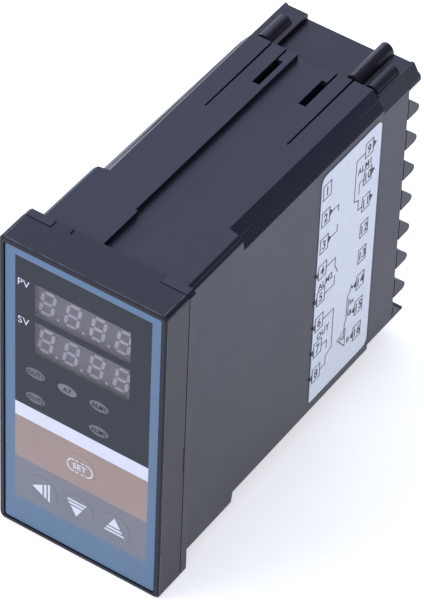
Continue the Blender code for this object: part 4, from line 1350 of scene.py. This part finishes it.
PLATES = 17
core_steel = mottled(
    "core_steel", (0.055, 0.055, 0.060), (0.105, 0.100, 0.100), 500.0, (0.35, 0.55), metallic=0.7
)
tape_yellow = mottled("tape_yellow", (0.62, 0.43, 0.045), (0.74, 0.54, 0.080), 240.0, (0.22, 0.36), bump=0.15)
(xs, (near, far), (low, high)) = box_of("transformer")
plate = ease(boxes(((xs[0], xs[1] - 2.2), (0, 0.5), (low, high))), 0.08, segments=1)
piece = finish_mesh("one_plate", plate, [core_steel])
core = set_out("transformer_core", piece, core_steel, (0, near + 5.0, 0), PLATES, (0, 0.6, 0))
winding = boxes(((xs[0] + 3.6, xs[1] - 5.6), (near + 0.9, far - 0.9), (low + 4.6, high - 4.6)))
coiled = [ease(winding, 1.8, segments=4)]
for edge in (near + 2.2, far - 3.4):
    wrap = boxes(((xs[0] + 3.5, xs[1] - 5.5), (edge, edge + 1.2), (low + 4.5, high - 4.5)))
    coiled.append(ease(wrap, 1.2, segments=4))
cheek_xs, cheek_heights = (xs[0] + 2.2, xs[1] - 2.0), (low + 2.6, high - 2.6)
black_parts = [(cheek_xs, (edge, edge + 0.9), cheek_heights) for edge in (near, far - 0.9)]
black_parts.append(((xs[1] - 2.2, xs[1]), (near, far), (low + 0.5, high - 0.5)))
moulded = merge([ease(boxes(part), 0.3) for part in black_parts])
pin_spots = [(depth, height) for depth in (26.0, 42.0) for height in (-2.0, 4.0, 10.0, 16.0)]
leads = boxes(*[((xs[1] - 3.6, 17.3), about(depth, 0.3), about(height, 0.3)) for depth, height in pin_spots])
parts = gather([merge(coiled), moulded, leads])
coil = finish_mesh("transformer_coil", parts, [tape_yellow, strip_black, tin])
belongs(coil, "front_unit", "transformer_tape", "transformer")
belongs(core, "front_unit", "transformer_tape")

# ------------------------------------------------------------ capacitors
# Two aluminium cans lie along the power board in shrunk sleeves with a pale
# stripe. The rolled rim shows at one end, and the leads bend down at the other.

can_sleeve = mottled("can_sleeve", (0.010, 0.016, 0.045), (0.016, 0.024, 0.062), 130.0, (0.20, 0.32))
can_stripe = mottled("can_stripe", (0.42, 0.44, 0.50), (0.52, 0.54, 0.60), 200.0, (0.25, 0.36))
can_metal = mottled("can_metal", (0.62, 0.62, 0.63), (0.78, 0.78, 0.79), 900.0, (0.24, 0.40), metallic=1.0)
can_rubber = mottled("can_rubber", (0.012, 0.012, 0.012), (0.022, 0.022, 0.022), 500.0, (0.5, 0.7))
for name, gap in (("mains_capacitor", 7.0), ("output_capacitor", 4.0)):
    (xs, (near, far), heights) = box_of(name)
    x, z = centre_of(name)
    r = (heights[1] - heights[0]) / 2
    rim = ((r * 0.78, near + 0.12), (r * 0.9, near), (r - 0.1, near + 0.35), (r, near + 0.9))
    neck = ((r, far - 3.6), (r - 0.35, far - 3.1), (r - 0.45, far - 2.6), (r - 0.35, far - 2.1))
    end = ((r, far - 1.6), (r, far - 0.5), (r * 0.84, far - 0.1), (r * 0.78, far - 0.3))
    body = turned_cap(x, z, rim + neck + end, 48)
    for face in body.faces:
        spoke = (face.calc_center_median() - at(x, 0, z)) / MM
        face.material_index = 1 if abs(math.atan2(spoke.z, -spoke.x) - 0.6) < 0.28 else 0
    bmesh.ops.holes_fill(body, edges=[edge for edge in body.edges if edge.is_boundary], sides=0)
    outline = ((0.0, near + 0.2), (r * 0.76, near + 0.15), (r * 0.8, near + 0.6), (0.0, near + 0.7))
    top = turned_cap(x, z, outline, 32)
    vents = []
    for turn in (0.0, math.pi / 2):
        across = Vector((math.cos(turn + 0.5), math.sin(turn + 0.5))) * r * 0.5
        vent = stroke_path([(x - across.x, z - across.y), (x + across.x, z + across.y)], 0.3)
        vents.append(flat_sheet(vent, near + 0.12, 0.06))
    outline = ((0.0, far - 0.6), (r * 0.74, far - 0.6), (r * 0.74, far - 0.05), (0.0, far - 0.05))
    bung = turned_cap(x, z, outline, 32)
    legs = bmesh.new()
    for height in about(z, gap / 2):
        add_box(legs, about(x, 0.35), (far - 1.5, far + 0.9), about(height, 0.35))
        add_box(legs, (x - 0.35, 17.3), (far + 0.3, far + 0.95), about(height, 0.35))
    whole = merge([body, numbered(top, 2), numbered(merge(vents + [bung]), 3), numbered(legs, 4)])
    can = finish_mesh(name + "_built", whole, [can_sleeve, can_stripe, can_metal, can_rubber, tin])
    belongs(can, "front_unit", "capacitor_sleeve", name)

# ------------------------------------------------------------ the microcontroller
# A black epoxy package stands on the main board's inner face, with a round
# mark at its first pin and gull-wing leads along its two long sides.

LEADS = 12
chip_epoxy = mottled(
    "chip_epoxy", (0.020, 0.020, 0.022), (0.034, 0.034, 0.036), 1500.0, (0.45, 0.6), bump=0.25
)
(xs, (near, far), (low, high)) = box_of("microcontroller")
chip = boxes(((xs[0] + 0.35, xs[1]), (near + 1.5, far - 1.5), (low + 0.2, high - 0.2)))
ease(chip, 0.3, segments=1)
dot = flat_sheet([ring(near + 3.2, high - 1.9, 0.6, 20)], xs[1], 0.03, on_side)
package = finish_mesh("microcontroller_package", gather([chip, dot]), [chip_epoxy, board_print])
belongs(package, "front_unit", "dark_moulding", "microcontroller")
LEAD_RUNS = (((-0.25, -0.05), (0, 0.8)), ((-0.25, 1.1), (0.7, 0.95)), ((0.9, 1.1), (0.7, 1.8)))
lead = bmesh.new()
for edge, way in ((near, 1), (far, -1)):
    for (least, most), (start, end) in LEAD_RUNS:
        depths = sorted((edge + way * start, edge + way * end))
        add_box(lead, (xs[0] + least, xs[0] + most), depths, (-0.22, 0.22))
lead_step = (0, 0, (high - low - 2.0) / (LEADS - 1))
piece = finish_mesh("one_lead", lead, [tin])
chip_leads = set_out("microcontroller_leads", piece, tin, (0, 0, low + 1.0), LEADS, lead_step)
belongs(chip_leads, "front_unit", "nickel_steel")

# ------------------------------------------------------------ small parts
# Chip resistors and capacitors sit in loose rows on the inner faces, and banded
# resistors, a crystal and a disc varistor stand between the larger parts.

inner_left, inner_right = CAD_BOARDS["main_board"][0][1], CAD_BOARDS["power_board"][0][0]
chip_spots = []
for column in range(9):
    for row in range(14):
        depth, height = 17.0 + column * 8.2 + rng.uniform(-1, 1), -34.0 + row * 5.2 + rng.uniform(-0.6, 0.6)
        clear_of_chip = not (31 < depth < 53 and abs(height) < 10)
        if clear_of_chip and not (59 < depth < 73 and 8 < height < 20) and depth < 83 and rng.random() < 0.55:
            chip_spots.append((inner_left, depth, height))
resistor_black = mottled("resistor_black", (0.014, 0.014, 0.015), (0.026, 0.026, 0.028), 900.0, (0.3, 0.45))
for name, finish, parts in (
    ("chip_parts", resistor_black, (((0.05, 0.6), (-0.65, 0.65), (-0.6, 0.6)),)),
    ("chip_part_ends", tin, (((0.0, 0.65), (-1.05, -0.6), (-0.62, 0.62)), ((0.0, 0.65), (0.6, 1.05), (-0.62, 0.62)))),
):
    chip = boxes(*parts)
    bmesh.ops.translate(chip, vec=-at(0, 0, 0), verts=chip.verts)
    piece = finish_mesh("one_chip", chip, [finish])
    chips = repeated(name, piece, finish, SCATTER, [at(*spot) for spot in chip_spots], {})
    belongs(chips, "front_unit", "dark_moulding")

clay = mottled("resistor_clay", (0.50, 0.36, 0.19), (0.60, 0.44, 0.25), 400.0, (0.35, 0.5))
band_red = mottled("band_red", (0.35, 0.03, 0.02), (0.42, 0.05, 0.03), 500.0, (0.3, 0.45))
RESISTOR = (
    (0.0, 0.0), (0.7, 0.05), (1.1, 0.4), (1.15, 1.2), (0.9, 1.8), (0.9, 2.3), (0.9, 2.9), (0.9, 3.4),
    (0.9, 4.0), (0.9, 4.6), (1.15, 5.2), (1.1, 6.0), (0.7, 6.35), (0.0, 6.4),
)
RESISTOR_SPOTS = ((47.0, 6.0), (47.0, 10.0), (47.0, 14.0), (47.0, 22.0), (17.0, -30.0), (26.0, -32.0))
bodies = []
x = inner_right - 1.3
for depth, height in RESISTOR_SPOTS:
    body = turned_cap(x, height, [(radius, depth + along) for radius, along in RESISTOR], 16)
    for face in body.faces:
        along = (face.calc_center_median().y - at(0, depth, 0).y) / MM
        face.material_index = 1 if 1.8 < along < 2.3 or 2.9 < along < 3.4 or 4.0 < along < 4.6 else 0
    ends = (depth - 2.0, depth + 8.4)
    runs = [((x - 0.25, 17.0), about(end, 0.25), about(height, 0.25)) for end in ends]
    wires = boxes(*runs, (about(x, 0.25), ends, about(height, 0.25)))
    bodies += [body, numbered(wires, 2)]
resistors = finish_mesh("banded_resistors", merge(bodies), [clay, band_red, tin])
belongs(resistors, "front_unit", "circuit_board")

disc_blue = mottled("disc_blue", (0.02, 0.09, 0.26), (0.03, 0.12, 0.32), 300.0, (0.25, 0.4))
bridge = boxes(((inner_right - 9.5, inner_right - 0.8), (48.0, 52.0), (-10.5, 0.5)))
DISC = ((0.0, 42.0), (3.2, 42.0), (4.0, 42.4), (4.3, 43.2), (4.0, 44.0), (3.2, 44.4), (0.0, 44.4))
disc = turned_cap(inner_right - 6.0, -31.0, DISC, 32)
crystal = flat_sheet([rounded_box(5.0, 2.0, 1.9, 6, (66.0, 14.0))], inner_left + 0.3, 3.2, on_side)
LEG_SPOTS = ((50.0, -9.0), (50.0, -6.3), (50.0, -3.6), (50.0, -1.0), (43.2, -33.0), (43.2, -29.0))
leg_xs = (inner_right - 4.0, 17.0)
legs = boxes(*[(leg_xs, about(depth, 0.3), about(height, 0.3)) for depth, height in LEG_SPOTS])
parts = gather([ease(bridge, 0.6), disc, ease(crystal, 0.4), legs])
stood = finish_mesh("standing_parts", parts, [chip_epoxy, disc_blue, can_metal, tin])
belongs(stood, "front_unit", "dark_moulding")

low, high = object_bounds()
